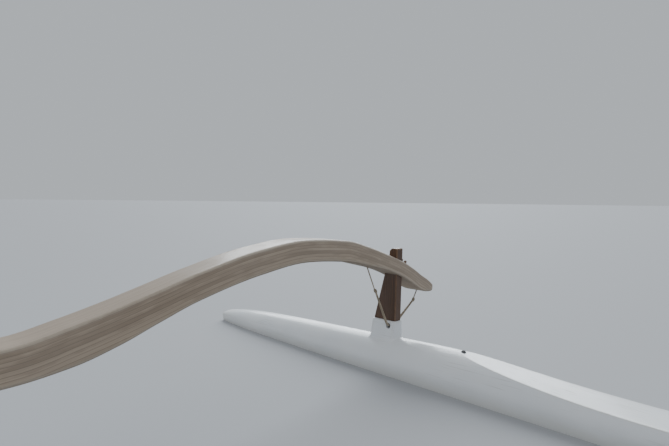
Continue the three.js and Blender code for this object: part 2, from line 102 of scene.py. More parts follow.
# %% [markdown]
# ## Smooth curves from a short table
#
# A boat is drawn as a table of sections. A spline through the rows would overshoot between them and give
# the hull bumps. A cubic whose slopes are held back where the rows turn never swings past them, so the hull
# stays fair.

# %% A curve through one column of a table
def column(table, index):
    rows = np.array(table, float)
    xs, ys = rows[:, 0], rows[:, index]
    run = np.diff(xs)
    chord = np.diff(ys) / run
    slope = np.zeros(len(xs))
    before, after = chord[:-1], chord[1:]
    turning = before * after > 0
    slope[1:-1][turning] = 2 * (before * after)[turning] / (before + after)[turning]
    slope[0] = 1.5 * chord[0] - 0.5 * slope[1]
    slope[-1] = 1.5 * chord[-1] - 0.5 * slope[-2]

    def at(x):
        x = np.asarray(x, float)
        k = np.clip(np.searchsorted(xs, x, side="right") - 1, 0, len(run) - 1)
        t = (x - xs[k]) / run[k]
        held = ys[k] * (2 * t**3 - 3 * t**2 + 1) + ys[k + 1] * (3 * t**2 - 2 * t**3)
        value = held + run[k] * (slope[k] * (t**3 - 2 * t**2 + t) + slope[k + 1] * (t**3 - t**2))
        return value if value.ndim else float(value)

    return at


def spaced(low, high, step):
    """Even places from one end to the other, about a step apart."""
    return np.linspace(low, high, max(2, round((high - low) / step) + 1))


print("curves are ready")

# %% [markdown]
# ## Outlines with eased corners
#
# No real board has a knife edge: a plane and sandpaper round it, and light catches it there. A Bevel
# modifier could do that afterwards, but it needs clean geometry at every corner. Rounding the outline
# before the mesh is made is surer. A guard point just past each curve keeps the wear that is painted later
# close to the edge.

# %% Eased outline
GUARD = 3.0
ROUND_SHARE, GUARD_SHARE = 0.45, 0.48  # the most of an edge that a curve, and its guard point, may take up


def oblong(left, right, low, high):
    return [(left, low), (right, low), (right, high), (left, high)]


def eased_outline(corners, radius, steps=5):
    """A closed outline in mm, with one radius for all corners or one for each."""
    corners = np.asarray(corners, float)
    radii = np.broadcast_to(radius, len(corners))
    points = []
    for k, (corner, wanted) in enumerate(zip(corners, radii)):
        back = corners[k - 1] - corner
        on = corners[(k + 1) % len(corners)] - corner
        back_length, on_length = np.linalg.norm(back), np.linalg.norm(on)
        back, on = back / back_length, on / on_length
        r = min(wanted, ROUND_SHARE * back_length, ROUND_SHARE * on_length)
        t = np.linspace(0, math.pi / 2, steps + 1)[:, None]
        points.append(corner + back * min(r + GUARD, GUARD_SHARE * back_length))
        points.extend(corner + back * r * (1 - np.sin(t)) + on * r * (1 - np.cos(t)))
        points.append(corner + on * min(r + GUARD, GUARD_SHARE * on_length))
    return np.array(points)


def rounded_ends(rings, radius, steps=4):
    """Rings with both ends rounded off outward over a radius."""
    rings = [np.asarray(ring, float) for ring in rings]
    caps = []
    for end, beside in ((rings[0], rings[1]), (rings[-1], rings[-2])):
        middle = end.mean(0)
        out = middle - beside.mean(0)
        out /= np.linalg.norm(out)
        half = np.maximum(np.ptp(end, axis=0) / 2, radius)
        cap = []
        for t in np.linspace(0, math.pi / 2, steps + 1)[1:]:
            shrink = 1 - (1 - math.cos(t)) * radius / half
            cap.append(middle + (end - middle) * shrink + out * radius * math.sin(t))
        caps.append(cap)
    return np.array([*caps[0][::-1], *rings, *caps[1]])


print("outlines are ready")

# %% [markdown]
# ## One skin over many rings
#
# Hull, float, booms, boards and ropes are all long things whose section changes slowly. Each can be a row
# of rings, joined by four-sided faces and closed at both ends, which is how a boat is planked over its
# frames. The normals are turned outward once, and only real corners are kept sharp.

# %% Skin
SHARP = math.radians(38)


def skin(name, *bodies):
    """One object made of one or more rows of rings, given in mm."""
    points, faces = [], []
    for rings in bodies:
        rings = np.asarray(rings, float)
        rows, count = rings.shape[:2]
        index = np.arange(rows * count).reshape(rows, count) + sum(len(p) for p in points)
        on = np.roll(index, -1, axis=1)
        faces += np.stack([index[:-1], on[:-1], on[1:], index[1:]], axis=-1).reshape(-1, 4).tolist()
        faces += [index[0][::-1].tolist(), index[-1].tolist()]
        points.append(rings.reshape(-1, 3) * MM)
    mesh = bpy.data.meshes.new(name)
    mesh.from_pydata(np.concatenate(points).tolist(), [], faces)
    return linked(name, mesh)


def linked(name, mesh):
    """An object with this mesh in the scene, its faces turned outward and shaded smooth."""
    working = bmesh.new()
    working.from_mesh(mesh)
    bmesh.ops.recalc_face_normals(working, faces=working.faces)
    working.to_mesh(mesh)
    working.free()
    mesh.shade_smooth()
    mesh.set_sharp_from_angle(angle=SHARP)
    obj = bpy.data.objects.new(name, mesh)
    bpy.context.scene.collection.objects.link(obj)
    return obj


def cut(obj, cutter):
    """Cuts one object out of another for good, and takes the cutter away."""
    modifier = obj.modifiers.new("cut", "BOOLEAN")
    modifier.object = cutter
    modifier.solver = "MANIFOLD"
    modifier.material_mode = "TRANSFER"
    bpy.context.view_layer.update()
    ready = obj.evaluated_get(bpy.context.evaluated_depsgraph_get())
    mesh = bpy.data.meshes.new_from_object(ready)
    obj.modifiers.clear()
    obj.data = mesh
    bpy.data.objects.remove(cutter)
    mesh.set_sharp_from_angle(angle=SHARP)
    return obj


print("skins are ready")

# %% [markdown]
# ## Turned parts
#
# Plugs, hatches and screw heads are turned or moulded round an axis, and a drilled hole is round too. A
# profile of radius and height says everything about such a part. The rings of the skin are then the circles
# of the lathe.

# %% Turned
X, Y, Z = 0, 1, 2


def turned(profile, centre, axis=Z, sides=40, direction=1):
    """Rings of a round part. Each row of the profile is a radius and a height along the axis."""
    angle = np.linspace(0, 2 * math.pi, sides, endpoint=False)
    rings = []
    for radius, height in profile:
        ring = np.zeros((sides, 3))
        ring[:, (axis + 1) % 3] = radius * np.cos(angle)
        ring[:, (axis + 2) % 3] = radius * np.sin(angle)
        ring[:, axis] = direction * height
        rings.append(ring + centre)
    return rings


def drill(obj, radius, centre, axis, reach=90):
    """Cuts a round hole of a radius, as far as reach to both sides of its centre."""
    return cut(obj, skin("drill", turned([(radius, -reach), (radius, reach)], centre, axis)))


print("lathe and drill are ready")

# %% [markdown]
# ## What a finished piece carries
#
# A material needs to know two things that a mesh doesn't say. One is where the grain runs: texture space is
# stored at each point as along, across and through the wood, so the figure follows a bent beam round its
# curve. The other is where the piece sticks out, because that is where ropes, hands and sand wear it first.
# That could be read from the shader's pointiness, but stored on the mesh it also survives an export.

# %% Grain, wear, and the body that a piece rides on
WEAR_FROM = 30
WEAR_FULL = 130


def read(items, what, width=3):
    values = np.empty(len(items) * width)
    items.foreach_get(what, values)
    return values.reshape(-1, width)


def mark_wear(mesh):
    """Stores how sharply the surface turns outward, from 0 to 1, by its curvature in 1/m."""
    places, normals = read(mesh.vertices, "co"), read(mesh.vertices, "normal")
    first, second = read(mesh.edges, "vertices", 2).astype(int).T
    across = places[first] - places[second]
    square = (across**2).sum(1) + 1e-9
    bend = np.zeros(len(places))
    np.maximum.at(bend, first, 2 * (across * normals[first]).sum(1) / square)
    np.maximum.at(bend, second, -2 * (across * normals[second]).sum(1) / square)
    worn = np.clip((bend - WEAR_FROM) / (WEAR_FULL - WEAR_FROM), 0, 1)
    mesh.attributes.new("worn", "FLOAT", "POINT").data.foreach_set("value", worn.astype(np.float32))


def dress(obj, material, nodes=(), grain=None):
    """Gives a piece its material, texture space and wear, and hands it to the frame."""
    mesh = obj.data
    if not any(mesh.materials):
        mesh.materials.clear()
        mesh.materials.append(material)
    places = read(mesh.vertices, "co")
    space = grain if isinstance(grain, np.ndarray) else (grain(places) if grain else places)
    attribute = mesh.attributes.new("grain", "FLOAT_VECTOR", "POINT")
    attribute.data.foreach_set("vector", np.asarray(space, np.float32).ravel())
    mark_wear(mesh)
    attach(obj, "root")
    if nodes:
        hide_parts(*nodes)
    return obj


def running(along, across, through, shift=0.0):
    """Texture space for a straight board: which axis is along the grain, across it and through it."""
    return lambda places: places[:, [along, across, through]] + (shift, 0, 0)


print("pieces can be dressed")

# %% [markdown]
# ## Wiring nodes in few words
#
# A material is a graph, and a graph written node by node is hard to read. A few short helpers, each named
# for what it does to a value or a colour, let every finish below be read from top to bottom.

# %% Helpers for nodes
def node(tree, kind, inputs=None, **settings):
    made = tree.nodes.new("ShaderNode" + kind)
    for key, value in settings.items():
        setattr(made, key, value)
    for key, value in (inputs or {}).items():
        if isinstance(value, bpy.types.NodeSocket):
            tree.links.new(value, made.inputs[key])
        else:
            made.inputs[key].default_value = value
    return made


def math_of(operation, first, second=0.0):
    """A value reckoned with a number or another value, in the graph that the first one comes from."""
    return node(first.id_data, "Math", {0: first, 1: second}, operation=operation).outputs[0]


times, plus = partial(math_of, "MULTIPLY"), partial(math_of, "ADD")
minus, larger = partial(math_of, "SUBTRACT"), partial(math_of, "MAXIMUM")


def stretched(vector, scale, offset=(0, 0, 0)):
    """Texture space that is made longer or shorter along each axis."""
    return node(vector.id_data, "Mapping", {0: vector, "Scale": scale, "Location": offset}).outputs[0]


def scaled(vector, by):
    return node(vector.id_data, "VectorMath", {0: vector, 3: by}, operation="SCALE").outputs[0]


def noise(vector, scale, detail=2.0, roughness=0.5):
    values = {"Vector": vector, "Scale": scale, "Detail": detail, "Roughness": roughness}
    return node(vector.id_data, "TexNoise", values).outputs[0]


def spread(value, low, high, to_low=0.0, to_high=1.0):
    """The value between low and high, drawn out to a new range and held at its ends."""
    values = {0: value, 1: low, 2: high, 3: to_low, 4: to_high}
    return node(value.id_data, "MapRange", values, interpolation_type="SMOOTHSTEP").outputs[0]


def blend(share, first, second):
    """The first colour where the share is 0, the second where it is 1."""
    return node(share.id_data, "Mix", {0: share, 6: first, 7: second}, data_type="RGBA").outputs[2]


print("graphs can be wired")

# %% What a surface knows of itself, and groups
def own_place(tree):
    """Where a point is on its own object, in metres."""
    return node(tree, "TexCoord").outputs["Object"]


def stored(tree, name, kind):
    """What a mesh has stored at its points under a name."""
    return node(tree, "Attribute", attribute_name=name).outputs[kind]


def facing_up(tree):
    """From -1 where the surface faces down to 1 where it faces up."""
    return node(tree, "SeparateXYZ", {0: node(tree, "NewGeometry").outputs["Normal"]}).outputs[2]


def rgb(red, green, blue):
    return (red, green, blue, 1.0)


def effect(name, inputs, outputs):
    """A new node group with named sockets, and what stands at its two ends."""
    tree = bpy.data.node_groups.new(name, "ShaderNodeTree")
    for label, kind, value in inputs:
        socket = tree.interface.new_socket(label, in_out="INPUT", socket_type="NodeSocket" + kind)
        if value is not None:
            socket.default_value = value
    for label in outputs:
        tree.interface.new_socket(label, in_out="OUTPUT", socket_type="NodeSocketFloat")
    return tree, tree.nodes.new("NodeGroupInput").outputs, tree.nodes.new("NodeGroupOutput").inputs


def use(tree, group, **inputs):
    """Places an effect in a material. An input is named as in the group, with _ for a space."""
    made = node(tree, "Group", node_tree=group)
    for key, value in inputs.items():
        socket = made.inputs[key.replace("_", " ")]
        if isinstance(value, bpy.types.NodeSocket):
            tree.links.new(value, socket)
        else:
            socket.default_value = value
    return made.outputs


print("effects can be built and placed")

# %% [markdown]
# ## Effect: the figure of wood
#
# A sawn board cuts through a trunk's growth rings, so it shows long bands that wander and close into
# arches, with fine fibres and pores along them. The rings are a wave round a pith that lies below the
# board, squeezed along the grain. The fibres are noise drawn out a hundred times. A photograph of veneer
# would repeat; this doesn't, and it runs on through every face of a piece.

# %% wood_figure
figure, start, result = effect(
    "wood_figure",
    [("Grain", "Vector", None), ("Rings", "Float", 60.0), ("Fibres", "Float", 1.0)],
    ["Tone", "Height"],
)
pith = stretched(start["Grain"], (0.32, 1.0, 1.0), (0.0, 0.012, 0.085))
rings = node(
    figure,
    "TexWave",
    {"Vector": pith, "Scale": start["Rings"], "Distortion": 5.0, "Detail": 3.0, "Detail Scale": 0.5},
    wave_type="RINGS",
    rings_direction="X",
).outputs[1]
drawn_out = scaled(start["Grain"], start["Fibres"])
fibre = noise(stretched(drawn_out, (5.0, 420.0, 420.0)), 1.0, 4.0, 0.6)
streak = noise(stretched(drawn_out, (1.6, 60.0, 60.0)), 1.0, 2.0)
pore = spread(noise(stretched(drawn_out, (26.0, 1500.0, 1500.0)), 1.0), 0.6, 0.72)
bands = times(spread(rings, 0.1, 0.9), 0.42)
lines = times(spread(fibre, 0.32, 0.68), 0.33)
broad = times(spread(streak, 0.3, 0.7), 0.25)
tone = plus(plus(bands, lines), broad)
tone = minus(tone, times(pore, 0.25))
figure.links.new(tone, result["Tone"])
figure.links.new(minus(fibre, pore), result["Height"])
print("wood_figure:", len(figure.nodes), "nodes")

# %% [markdown]
# ## Effect: laminations
#
# A curved boom is glued up from thin strips bent over a mould, because a sawn curve would be weak where the
# grain runs out. On the side the strips show as bands that keep to the curve, each a little lighter or
# darker, with a thin dark glue line between. Counting strips through the wood and giving each its own
# random tone draws them.

# %% laminations
FIRST_STRIP = 0.0031  # how much of the first strip is planed away, in metres

laminations, start, result = effect(
    "laminations", [("Grain", "Vector", None), ("Thickness", "Float", 0.01)], ["Tone", "Joint"]
)
through = node(laminations, "SeparateXYZ", {0: start["Grain"]}).outputs[2]
count = math_of("DIVIDE", plus(through, FIRST_STRIP), start["Thickness"])
strip = math_of("FLOOR", count)
strip_tone = node(laminations, "TexWhiteNoise", {"W": strip}, noise_dimensions="1D").outputs[0]
inside = math_of("PINGPONG", count, 0.5)
laminations.links.new(strip_tone, result["Tone"])
laminations.links.new(spread(inside, 0.02, 0.07, 1.0, 0.0), result["Joint"])
print("laminations:", len(laminations.nodes), "nodes")

# %% [markdown]
# ## Effect: worn edges
#
# Varnish and gelcoat go first on the corners, in patches. The wear that each mesh carries is broken up by
# noise so that it doesn't look like an outline drawn with a ruler.

# %% worn_edges
worn_edges, start, result = effect(
    "worn_edges", [("Amount", "Float", 1.0), ("Patches", "Float", 30.0)], ["Mask"]
)
worn = stored(worn_edges, "worn", "Fac")
here = own_place(worn_edges)
patches = spread(noise(here, start["Patches"], 4.0, 0.65), 0.38, 0.62, 0.5)
rubbed = times(times(worn, patches), start["Amount"])
worn_edges.links.new(rubbed, result["Mask"])
print("worn_edges:", len(worn_edges.nodes), "nodes")

# %% [markdown]
# ## Effect: salt haze
#
# Spray dries to a dull bloom with small spots in it, mostly on what faces up. The height of the surface
# normal says what faces up, and two sizes of noise make the bloom and its spots.

# %% salt_haze
salt_haze, start, result = effect("salt_haze", [("Amount", "Float", 0.5)], ["Mask"])
here = own_place(salt_haze)
facing = facing_up(salt_haze)
bloom = spread(noise(here, 5.0, 5.0, 0.6), 0.4, 0.68)
cells = node(salt_haze, "TexVoronoi", {"Vector": here, "Scale": 160.0, "Randomness": 1.0})
spots = spread(cells.outputs[0], 0.1, 0.32, 0.8, 0.0)
both = larger(bloom, times(spots, bloom))
settled = times(both, spread(facing, -0.3, 0.8, 0.25, 1.0))
salt_haze.links.new(times(settled, start["Amount"]), result["Mask"])
print("salt_haze:", len(salt_haze.nodes), "nodes")

# %% [markdown]
# ## Effect: scuffs
#
# Sand and paddles leave thin short marks, most of them along the boat. Noise that is drawn out along the
# hull, and kept only where it is strongest, gives lines that begin and end. A second set crosses them at a
# slant.

# %% scuffs
scuffs, start, result = effect("scuffs", [("Amount", "Float", 1.0), ("Fineness", "Float", 1.0)], ["Mask"])
here = scaled(own_place(scuffs), start["Fineness"])
long_marks = noise(stretched(here, (5.0, 170.0, 170.0)), 1.0, 1.0)
aslant = node(scuffs, "Mapping", {0: here, "Rotation": (0.5, 0.4, 0.7), "Scale": (6.0, 210.0, 210.0)})
slanted = noise(aslant.outputs[0], 1.0, 1.0)
where = spread(noise(here, 3.0, 3.0), 0.45, 0.65)
marks = larger(spread(long_marks, 0.66, 0.72), spread(slanted, 0.69, 0.74))
patchy = times(times(marks, where), start["Amount"])
scuffs.links.new(patchy, result["Mask"])
print("scuffs:", len(scuffs.nodes), "nodes")

# %% [markdown]
# ## Effect: the film at the waterline
#
# A hull that lies afloat for weeks gets a thin tan film along its waterline, which fades upward. That line
# is at z = 0, so the height of a point is enough to place it, and noise makes its upper edge uneven.

# %% waterline_film
film, start, result = effect(
    "waterline_film", [("Reach", "Float", 0.05), ("Amount", "Float", 0.5)], ["Mask"]
)
here = own_place(film)
height = node(film, "SeparateXYZ", {0: here}).outputs[2]
uneven = times(noise(stretched(here, (9.0, 9.0, 30.0)), 1.0, 4.0, 0.6), 0.045)
level = math_of("DIVIDE", minus(height, uneven), start["Reach"])
film.links.new(times(spread(level, -0.6, 1.0, 1.0, 0.0), start["Amount"]), result["Mask"])
print("waterline_film:", len(film.nodes), "nodes")

# %% [markdown]
# ## Effect: the yarns of a laid rope
#
# The mesh of a rope already has its three strands. Each strand is made of yarns that run at a slant to it,
# too fine for the mesh. Texture space on a rope is along and around, so a slanted wave draws the yarns as
# bump.

# %% rope_yarns
yarns, start, result = effect("rope_yarns", [("Grain", "Vector", None)], ["Tone", "Height"])
slant = node(yarns, "Mapping", {0: start["Grain"], "Rotation": (0, 0, 0.75)}).outputs[0]
wave = node(yarns, "TexWave", {"Vector": slant, "Scale": 260.0, "Distortion": 1.2, "Detail": 2.0}).outputs[1]
fuzz = noise(start["Grain"], 900.0, 3.0, 0.7)
soil = noise(start["Grain"], 9.0, 3.0)
yarns.links.new(plus(times(wave, 0.7), times(fuzz, 0.6)), result["Height"])
mixed = plus(times(wave, 0.35), times(spread(soil, 0.3, 0.7), 0.65))
yarns.links.new(mixed, result["Tone"])
print("rope_yarns:", len(yarns.nodes), "nodes")

# %% [markdown]
# ## Finish: gelcoat
#
# The hull and float are moulded in fibreglass, and their outside is gelcoat: a hard white resin with a soft
# gloss, slightly wavy like the peel of an orange. A plain white would look like paper. Haze, scuffs, the
# waterline's film and worn corners each change the colour a little and the roughness a lot, and roughness
# is what the eye reads as age.

# %% Gelcoat
def material(name, **constants):
    """A material with one Principled shader, whose even values are set on its own sockets."""
    made = bpy.data.materials.new(name)
    made.use_nodes = True
    shader = made.node_tree.nodes["Principled BSDF"]
    for key, value in constants.items():
        shader.inputs[key.replace("_", " ")].default_value = value
    return made, made.node_tree, shader


def finish(shader, colour, roughness, height, strength, distance=0.001):
    """Joins the last colour, roughness and height to the shader."""
    tree = shader.id_data
    tree.links.new(colour, shader.inputs["Base Color"])
    tree.links.new(roughness, shader.inputs["Roughness"])
    bump = node(tree, "Bump", {"Height": height, "Strength": strength, "Distance": distance})
    tree.links.new(bump.outputs[0], shader.inputs["Normal"])


SALT, SCRATCHED = rgb(0.86, 0.86, 0.83), rgb(0.44, 0.44, 0.43)
SILT, CHALK = rgb(0.42, 0.38, 0.26), rgb(0.6, 0.58, 0.53)
WORN_ROUGHNESS = 0.62


def gelcoat(name, low, high, haze_amount, film_amount, gloss):
    made, tree, shader = material(name, Coat_Weight=0.2, Coat_Roughness=0.12)
    here = own_place(tree)
    haze = use(tree, salt_haze, Amount=haze_amount)[0]
    scratch = use(tree, scuffs, Amount=1.0)[0]
    stained = use(tree, film, Reach=0.055, Amount=film_amount)[0]
    chipped = use(tree, worn_edges, Amount=0.8, Patches=45.0)[0]
    colour = blend(spread(noise(here, 1.7, 4.0), 0.3, 0.7), low, high)
    colour = blend(times(haze, 0.35), colour, SALT)
    colour = blend(times(scratch, 0.4), colour, SCRATCHED)
    colour = blend(stained, colour, SILT)
    colour = blend(times(chipped, 0.5), colour, CHALK)
    marks = larger(scratch, larger(haze, chipped))
    roughness = spread(plus(marks, times(stained, 0.6)), 0.0, 1.2, gloss, WORN_ROUGHNESS)
    peel = noise(here, 190.0, 2.0)
    wavy = times(noise(here, 7.0, 2.0), 2.5)
    height = minus(plus(peel, wavy), times(scratch, 0.8))
    finish(shader, colour, roughness, height, 0.12)
    return made


hull_gelcoat = gelcoat(
    "hull_gelcoat",
    low=rgb(0.70, 0.73, 0.76),
    high=rgb(0.78, 0.80, 0.82),
    haze_amount=0.5,
    film_amount=0.3,
    gloss=0.28,
)
deck_gelcoat = gelcoat(
    "deck_gelcoat",
    low=rgb(0.72, 0.75, 0.78),
    high=rgb(0.79, 0.82, 0.84),
    haze_amount=0.65,
    film_amount=0.0,
    gloss=0.26,
)
print("gelcoat:", len(hull_gelcoat.node_tree.nodes), "nodes")

# %% [markdown]
# ## Finish: the flow coat inside the hull
#
# The inside of a moulded hull is the rough side of the glass cloth under a brushed grey coat. The weave
# prints through as a faint square pattern, and sand and dirt gather low down. The weave is two crossed
# waves, and the dirt follows the height.

# %% Flow coat
flow_coat, tree, shader = material("flow_coat", Coat_Weight=0.1)
here = own_place(tree)
thread = {"Vector": here, "Scale": 42.0, "Distortion": 0.6}
warp, weft = (node(tree, "TexWave", thread, bands_direction=way).outputs[1] for way in ("X", "Z"))
weave = times(warp, weft)
low_down = node(tree, "SeparateXYZ", {0: here}).outputs[2]
grit = spread(low_down, -0.16, -0.03, 1.0, 0.0)
speckled = spread(noise(here, 240.0, 2.0, 0.7), 0.52, 0.64)
grit = times(grit, spread(noise(here, 34.0, 8.0, 0.72), 0.36, 0.7))
colour = blend(spread(noise(here, 3.0, 4.0), 0.3, 0.7), rgb(0.42, 0.44, 0.45), rgb(0.52, 0.54, 0.55))
colour = blend(times(speckled, 0.25), colour, rgb(0.3, 0.31, 0.32))
colour = blend(times(grit, 0.6), colour, rgb(0.34, 0.31, 0.25))
roughness = spread(plus(grit, speckled), 0.0, 1.5, 0.45, 0.85)
height = plus(weave, times(grit, speckled))
finish(shader, colour, roughness, height, 0.25)
print("flow_coat:", len(tree.nodes), "nodes")

# %% [markdown]
# ## Finish: wood, varnished or oiled
#
# Gunwales and splashboards are under clear varnish. The booms were too, but sun and salt have taken most of
# it and greyed the wood. The posts are a dark hardwood that is only oiled, and the seats a paler board.
# They are one material with other numbers. Varnish is a clear coat over the wood, so the gloss lies above
# the grain, and it is gone where the edges are rubbed bare. The undersides are made dull, and their colour
# is darkened as painted shade. The height of the surface normal says where they are. Every strip
# of a laminated beam is another piece of timber, so its figure is moved by a random reach.

# %% Wood
STRIP_REACH = (3.0, 0.06)  # the most that a strip's figure is moved, along and across, in metres
# how dark the glue lines are, and how dark the painted shade on the undersides is, as shares of the dark
# colour
GLUE_SHADE, PAINTED_UNDERSIDE_SHADE = 0.5, 0.6
SALT_ON_WOOD = rgb(0.6, 0.58, 0.54)


def shaded(colour, share):
    return rgb(*(share * part for part in colour[:3]))


def wood(name, dark, light, bare, rings, coat, roughness_range, strips=None, haze_amount=0.4, wear=1.0):
    made, tree, shader = material(name, Coat_Roughness=0.12, Specular_IOR_Level=0.4)
    grain = sawn = stored(tree, "grain", "Vector")
    if strips:
        layers = use(tree, laminations, Grain=grain, Thickness=strips)
        along, across = (times(layers[0], reach) for reach in STRIP_REACH)
        moved = node(tree, "CombineXYZ", {0: along, 1: across}).outputs[0]
        sawn = node(tree, "VectorMath", {0: grain, 1: moved}, operation="ADD").outputs[0]
    drawn = use(tree, figure, Grain=sawn, Rings=rings, Fibres=1.0)
    rubbed = use(tree, worn_edges, Amount=wear, Patches=26.0)[0]
    haze = use(tree, salt_haze, Amount=haze_amount)[0]
    scratch = use(tree, scuffs, Amount=0.8, Fineness=1.6)[0]
    facing = facing_up(tree)
    # faces that look down: their colour gets painted shade, and they lose gloss
    underside_shade_and_dull = spread(facing, -0.75, -0.25, 1.0, 0.0)
    tone, height = drawn[0], drawn[1]
    if strips:
        tone = plus(times(tone, 0.8), times(layers[0], 0.2))
    colour = blend(tone, dark, light)
    if strips:
        glue = times(layers[1], 0.7)
        colour = blend(glue, colour, shaded(dark, GLUE_SHADE))
    colour = blend(times(rubbed, 0.75), colour, bare)
    colour = blend(times(haze, 0.16), colour, SALT_ON_WOOD)
    # painted shade: the undersides are darkened towards a darker copy of the wood's colour
    colour = blend(times(underside_shade_and_dull, 0.5), colour, shaded(dark, PAINTED_UNDERSIDE_SHADE))
    dull = larger(rubbed, larger(haze, scratch))
    roughness = spread(larger(dull, underside_shade_and_dull), 0.0, 1.0, *roughness_range)
    finish(shader, colour, roughness, height, 0.22, 0.0006)
    kept = times(spread(dull, 0.2, 1.0, coat, coat * 0.25), spread(underside_shade_and_dull, 0.0, 1.0, 1.0, 0.0))
    tree.links.new(kept, shader.inputs["Coat Weight"])
    return made


boom_wood = wood(
    "boom_wood",
    dark=rgb(0.25, 0.19, 0.138),
    light=rgb(0.45, 0.36, 0.272),
    bare=rgb(0.48, 0.425, 0.35),
    rings=46.0,
    coat=0.25,
    roughness_range=(0.45, 0.8),
    strips=0.0105,
    haze_amount=0.55,
    wear=0.85,
)
trim_wood = wood(
    "trim_wood",
    dark=rgb(0.12, 0.052, 0.02),
    light=rgb(0.3, 0.15, 0.062),
    bare=rgb(0.4, 0.27, 0.15),
    rings=70.0,
    coat=0.8,
    roughness_range=(0.2, 0.6),
)
post_wood = wood(
    "post_wood",
    dark=rgb(0.035, 0.016, 0.008),
    light=rgb(0.125, 0.058, 0.026),
    bare=rgb(0.2, 0.12, 0.07),
    rings=90.0,
    coat=0.12,
    roughness_range=(0.42, 0.75),
)
seat_wood = wood(
    "seat_wood",
    dark=rgb(0.25, 0.14, 0.065),
    light=rgb(0.5, 0.32, 0.165),
    bare=rgb(0.55, 0.42, 0.27),
    rings=52.0,
    coat=0.4,
    roughness_range=(0.3, 0.7),
)
print("wood:", len(boom_wood.node_tree.nodes), "nodes")

# %% [markdown]
# ## Finish: rope, plastic, steel and sealant
#
# The lashings are pale laid rope, dry and matt, with a little sheen from loose fibres. The small fittings
# are black moulded plastic with a fine grained face, and screws of stainless steel with a brushed look.

# %% Rope, plastic, steel and sealant
rope_fibre, tree, shader = material("rope_fibre", Sheen_Weight=0.25, Sheen_Roughness=0.5)
grain = stored(tree, "grain", "Vector")
twist = use(tree, yarns, Grain=grain)
colour = blend(twist[0], rgb(0.2, 0.155, 0.105), rgb(0.5, 0.42, 0.31))
roughness = spread(twist[0], 0.0, 1.0, 0.95, 0.8)
finish(shader, colour, roughness, twist[1], 0.5, 0.0006)

black_plastic, tree, shader = material("black_plastic", Specular_IOR_Level=0.45)
here = own_place(tree)
rubbed = use(tree, worn_edges, Amount=1.0, Patches=120.0)[0]
haze = use(tree, salt_haze, Amount=0.6)[0]
colour = blend(noise(here, 40.0, 3.0), rgb(0.012, 0.012, 0.013), rgb(0.024, 0.025, 0.027))
colour = blend(times(rubbed, 0.6), colour, rgb(0.09, 0.09, 0.092))
colour = blend(times(haze, 0.12), colour, rgb(0.4, 0.4, 0.39))
roughness = spread(plus(rubbed, haze), 0.0, 1.4, 0.38, 0.7)
finish(shader, colour, roughness, noise(here, 1400.0, 2.0), 0.3, 0.0003)

steel, tree, shader = material("steel", Metallic=1.0)
here = own_place(tree)
brushed = noise(stretched(here, (60.0, 1400.0, 1400.0)), 1.0, 2.0)
colour = blend(brushed, rgb(0.5, 0.5, 0.49), rgb(0.66, 0.66, 0.65))
finish(shader, colour, spread(brushed, 0.3, 0.7, 0.2, 0.42), brushed, 0.1, 0.0002)

sealant, tree, shader = material("sealant")
here = own_place(tree)
smeared = noise(here, 60.0, 3.0)
colour = blend(smeared, rgb(0.5, 0.5, 0.48), rgb(0.64, 0.64, 0.61))
finish(shader, colour, spread(smeared, 0.3, 0.7, 0.5, 0.68), smeared, 0.3)
print("four more finishes")

# %% [markdown]
# ## The hull
#
# The hull is a slender rounded shell, open amidships and closed at both ends. Its section is a full bilge
# low down and a plain side that flares to the sheer. Two bodies are skinned from the same sections: the
# outside, and the room inside it, held in by the thickness of the shell. Cutting one from the other leaves
# a shell of even thickness with its two bulkheads, and the inner faces keep the cutter's own finish.

# %% Sections of the hull
HULL_SECTIONS = [
    # x, half breadth at the sheer, sheer height, half breadth at the bilge, keel
    (-5000, 10, 466, 8, 330),
    (-4930, 26, 456, 18, 120),
    (-4760, 52, 436, 36, -8),
    (-4400, 90, 402, 70, -72),
    (-3700, 145, 362, 124, -118),
    (-2600, 206, 326, 186, -146),
    (-1300, 240, 314, 216, -158),
    (0, 246, 314, 222, -162),
    (1300, 240, 314, 214, -160),
    (2600, 204, 332, 180, -150),
    (3700, 142, 380, 118, -124),
    (4400, 88, 434, 64, -80),
    (4760, 50, 474, 32, -14),
    (4930, 25, 496, 16, 120),
    (5000, 10, 506, 8, 350),
]
HALF_LENGTH = 5000
WALL = 8
CLEARANCE = 0.4
COCKPIT_AFT, COCKPIT_FORE = -2500, 2450
BILGE_RISE, BILGE_FULLNESS = 0.46, 0.8
sheer_half, sheer_height, bilge_half, keel = (column(HULL_SECTIONS, k) for k in (1, 2, 3, 4))


def bilge_height(x):
    return keel(x) + BILGE_RISE * (sheer_height(x) - keel(x))


def flare(x):
    return (sheer_half(x) - bilge_half(x)) / (sheer_height(x) - bilge_height(x))


def hull_half(x, z, inset=0.0):
    """Half the hull's breadth at a height, for points of its skin or of one that lies inset in it."""
    bilge, low = bilge_height(x), keel(x) + inset
    drop = np.clip((bilge - z) / (bilge - low), 0, 1)
    round_part = np.sqrt(1 - drop ** (2 / BILGE_FULLNESS)) ** BILGE_FULLNESS
    return (bilge_half(x) - inset) * round_part + flare(x) * np.maximum(z - bilge, 0)


def hull_ring(x, inset=0.0, extra=0.0, bilge_points=18, side_points=7):
    """One section, from the keel up to port and back down to starboard."""
    low, bilge, top = keel(x) + inset, bilge_height(x), sheer_height(x) + extra
    angle = np.linspace(0, math.pi / 2, bilge_points)
    z = bilge - (bilge - low) * np.cos(angle) ** BILGE_FULLNESS
    z = np.append(z, np.linspace(bilge, top, side_points)[1:])
    wide = (bilge_half(x) - inset) * np.sin(angle) ** BILGE_FULLNESS
    y = np.append(wide, wide[-1] + flare(x) * (z[bilge_points:] - bilge))
    port = np.column_stack([np.full(len(y), x), y, z])
    return np.concatenate([port, port[:0:-1] * (1, -1, 1)])


print("draught", -min(row[4] for row in HULL_SECTIONS), "mm")

# %% Hull shell
STEM_ROUND = 8
FINE_END, FINE_STEP, LONG_STEP, END_GAP = 300, 18, 80, 10
ROOM_OVER = 120  # how far the cutter stands out over the sheer


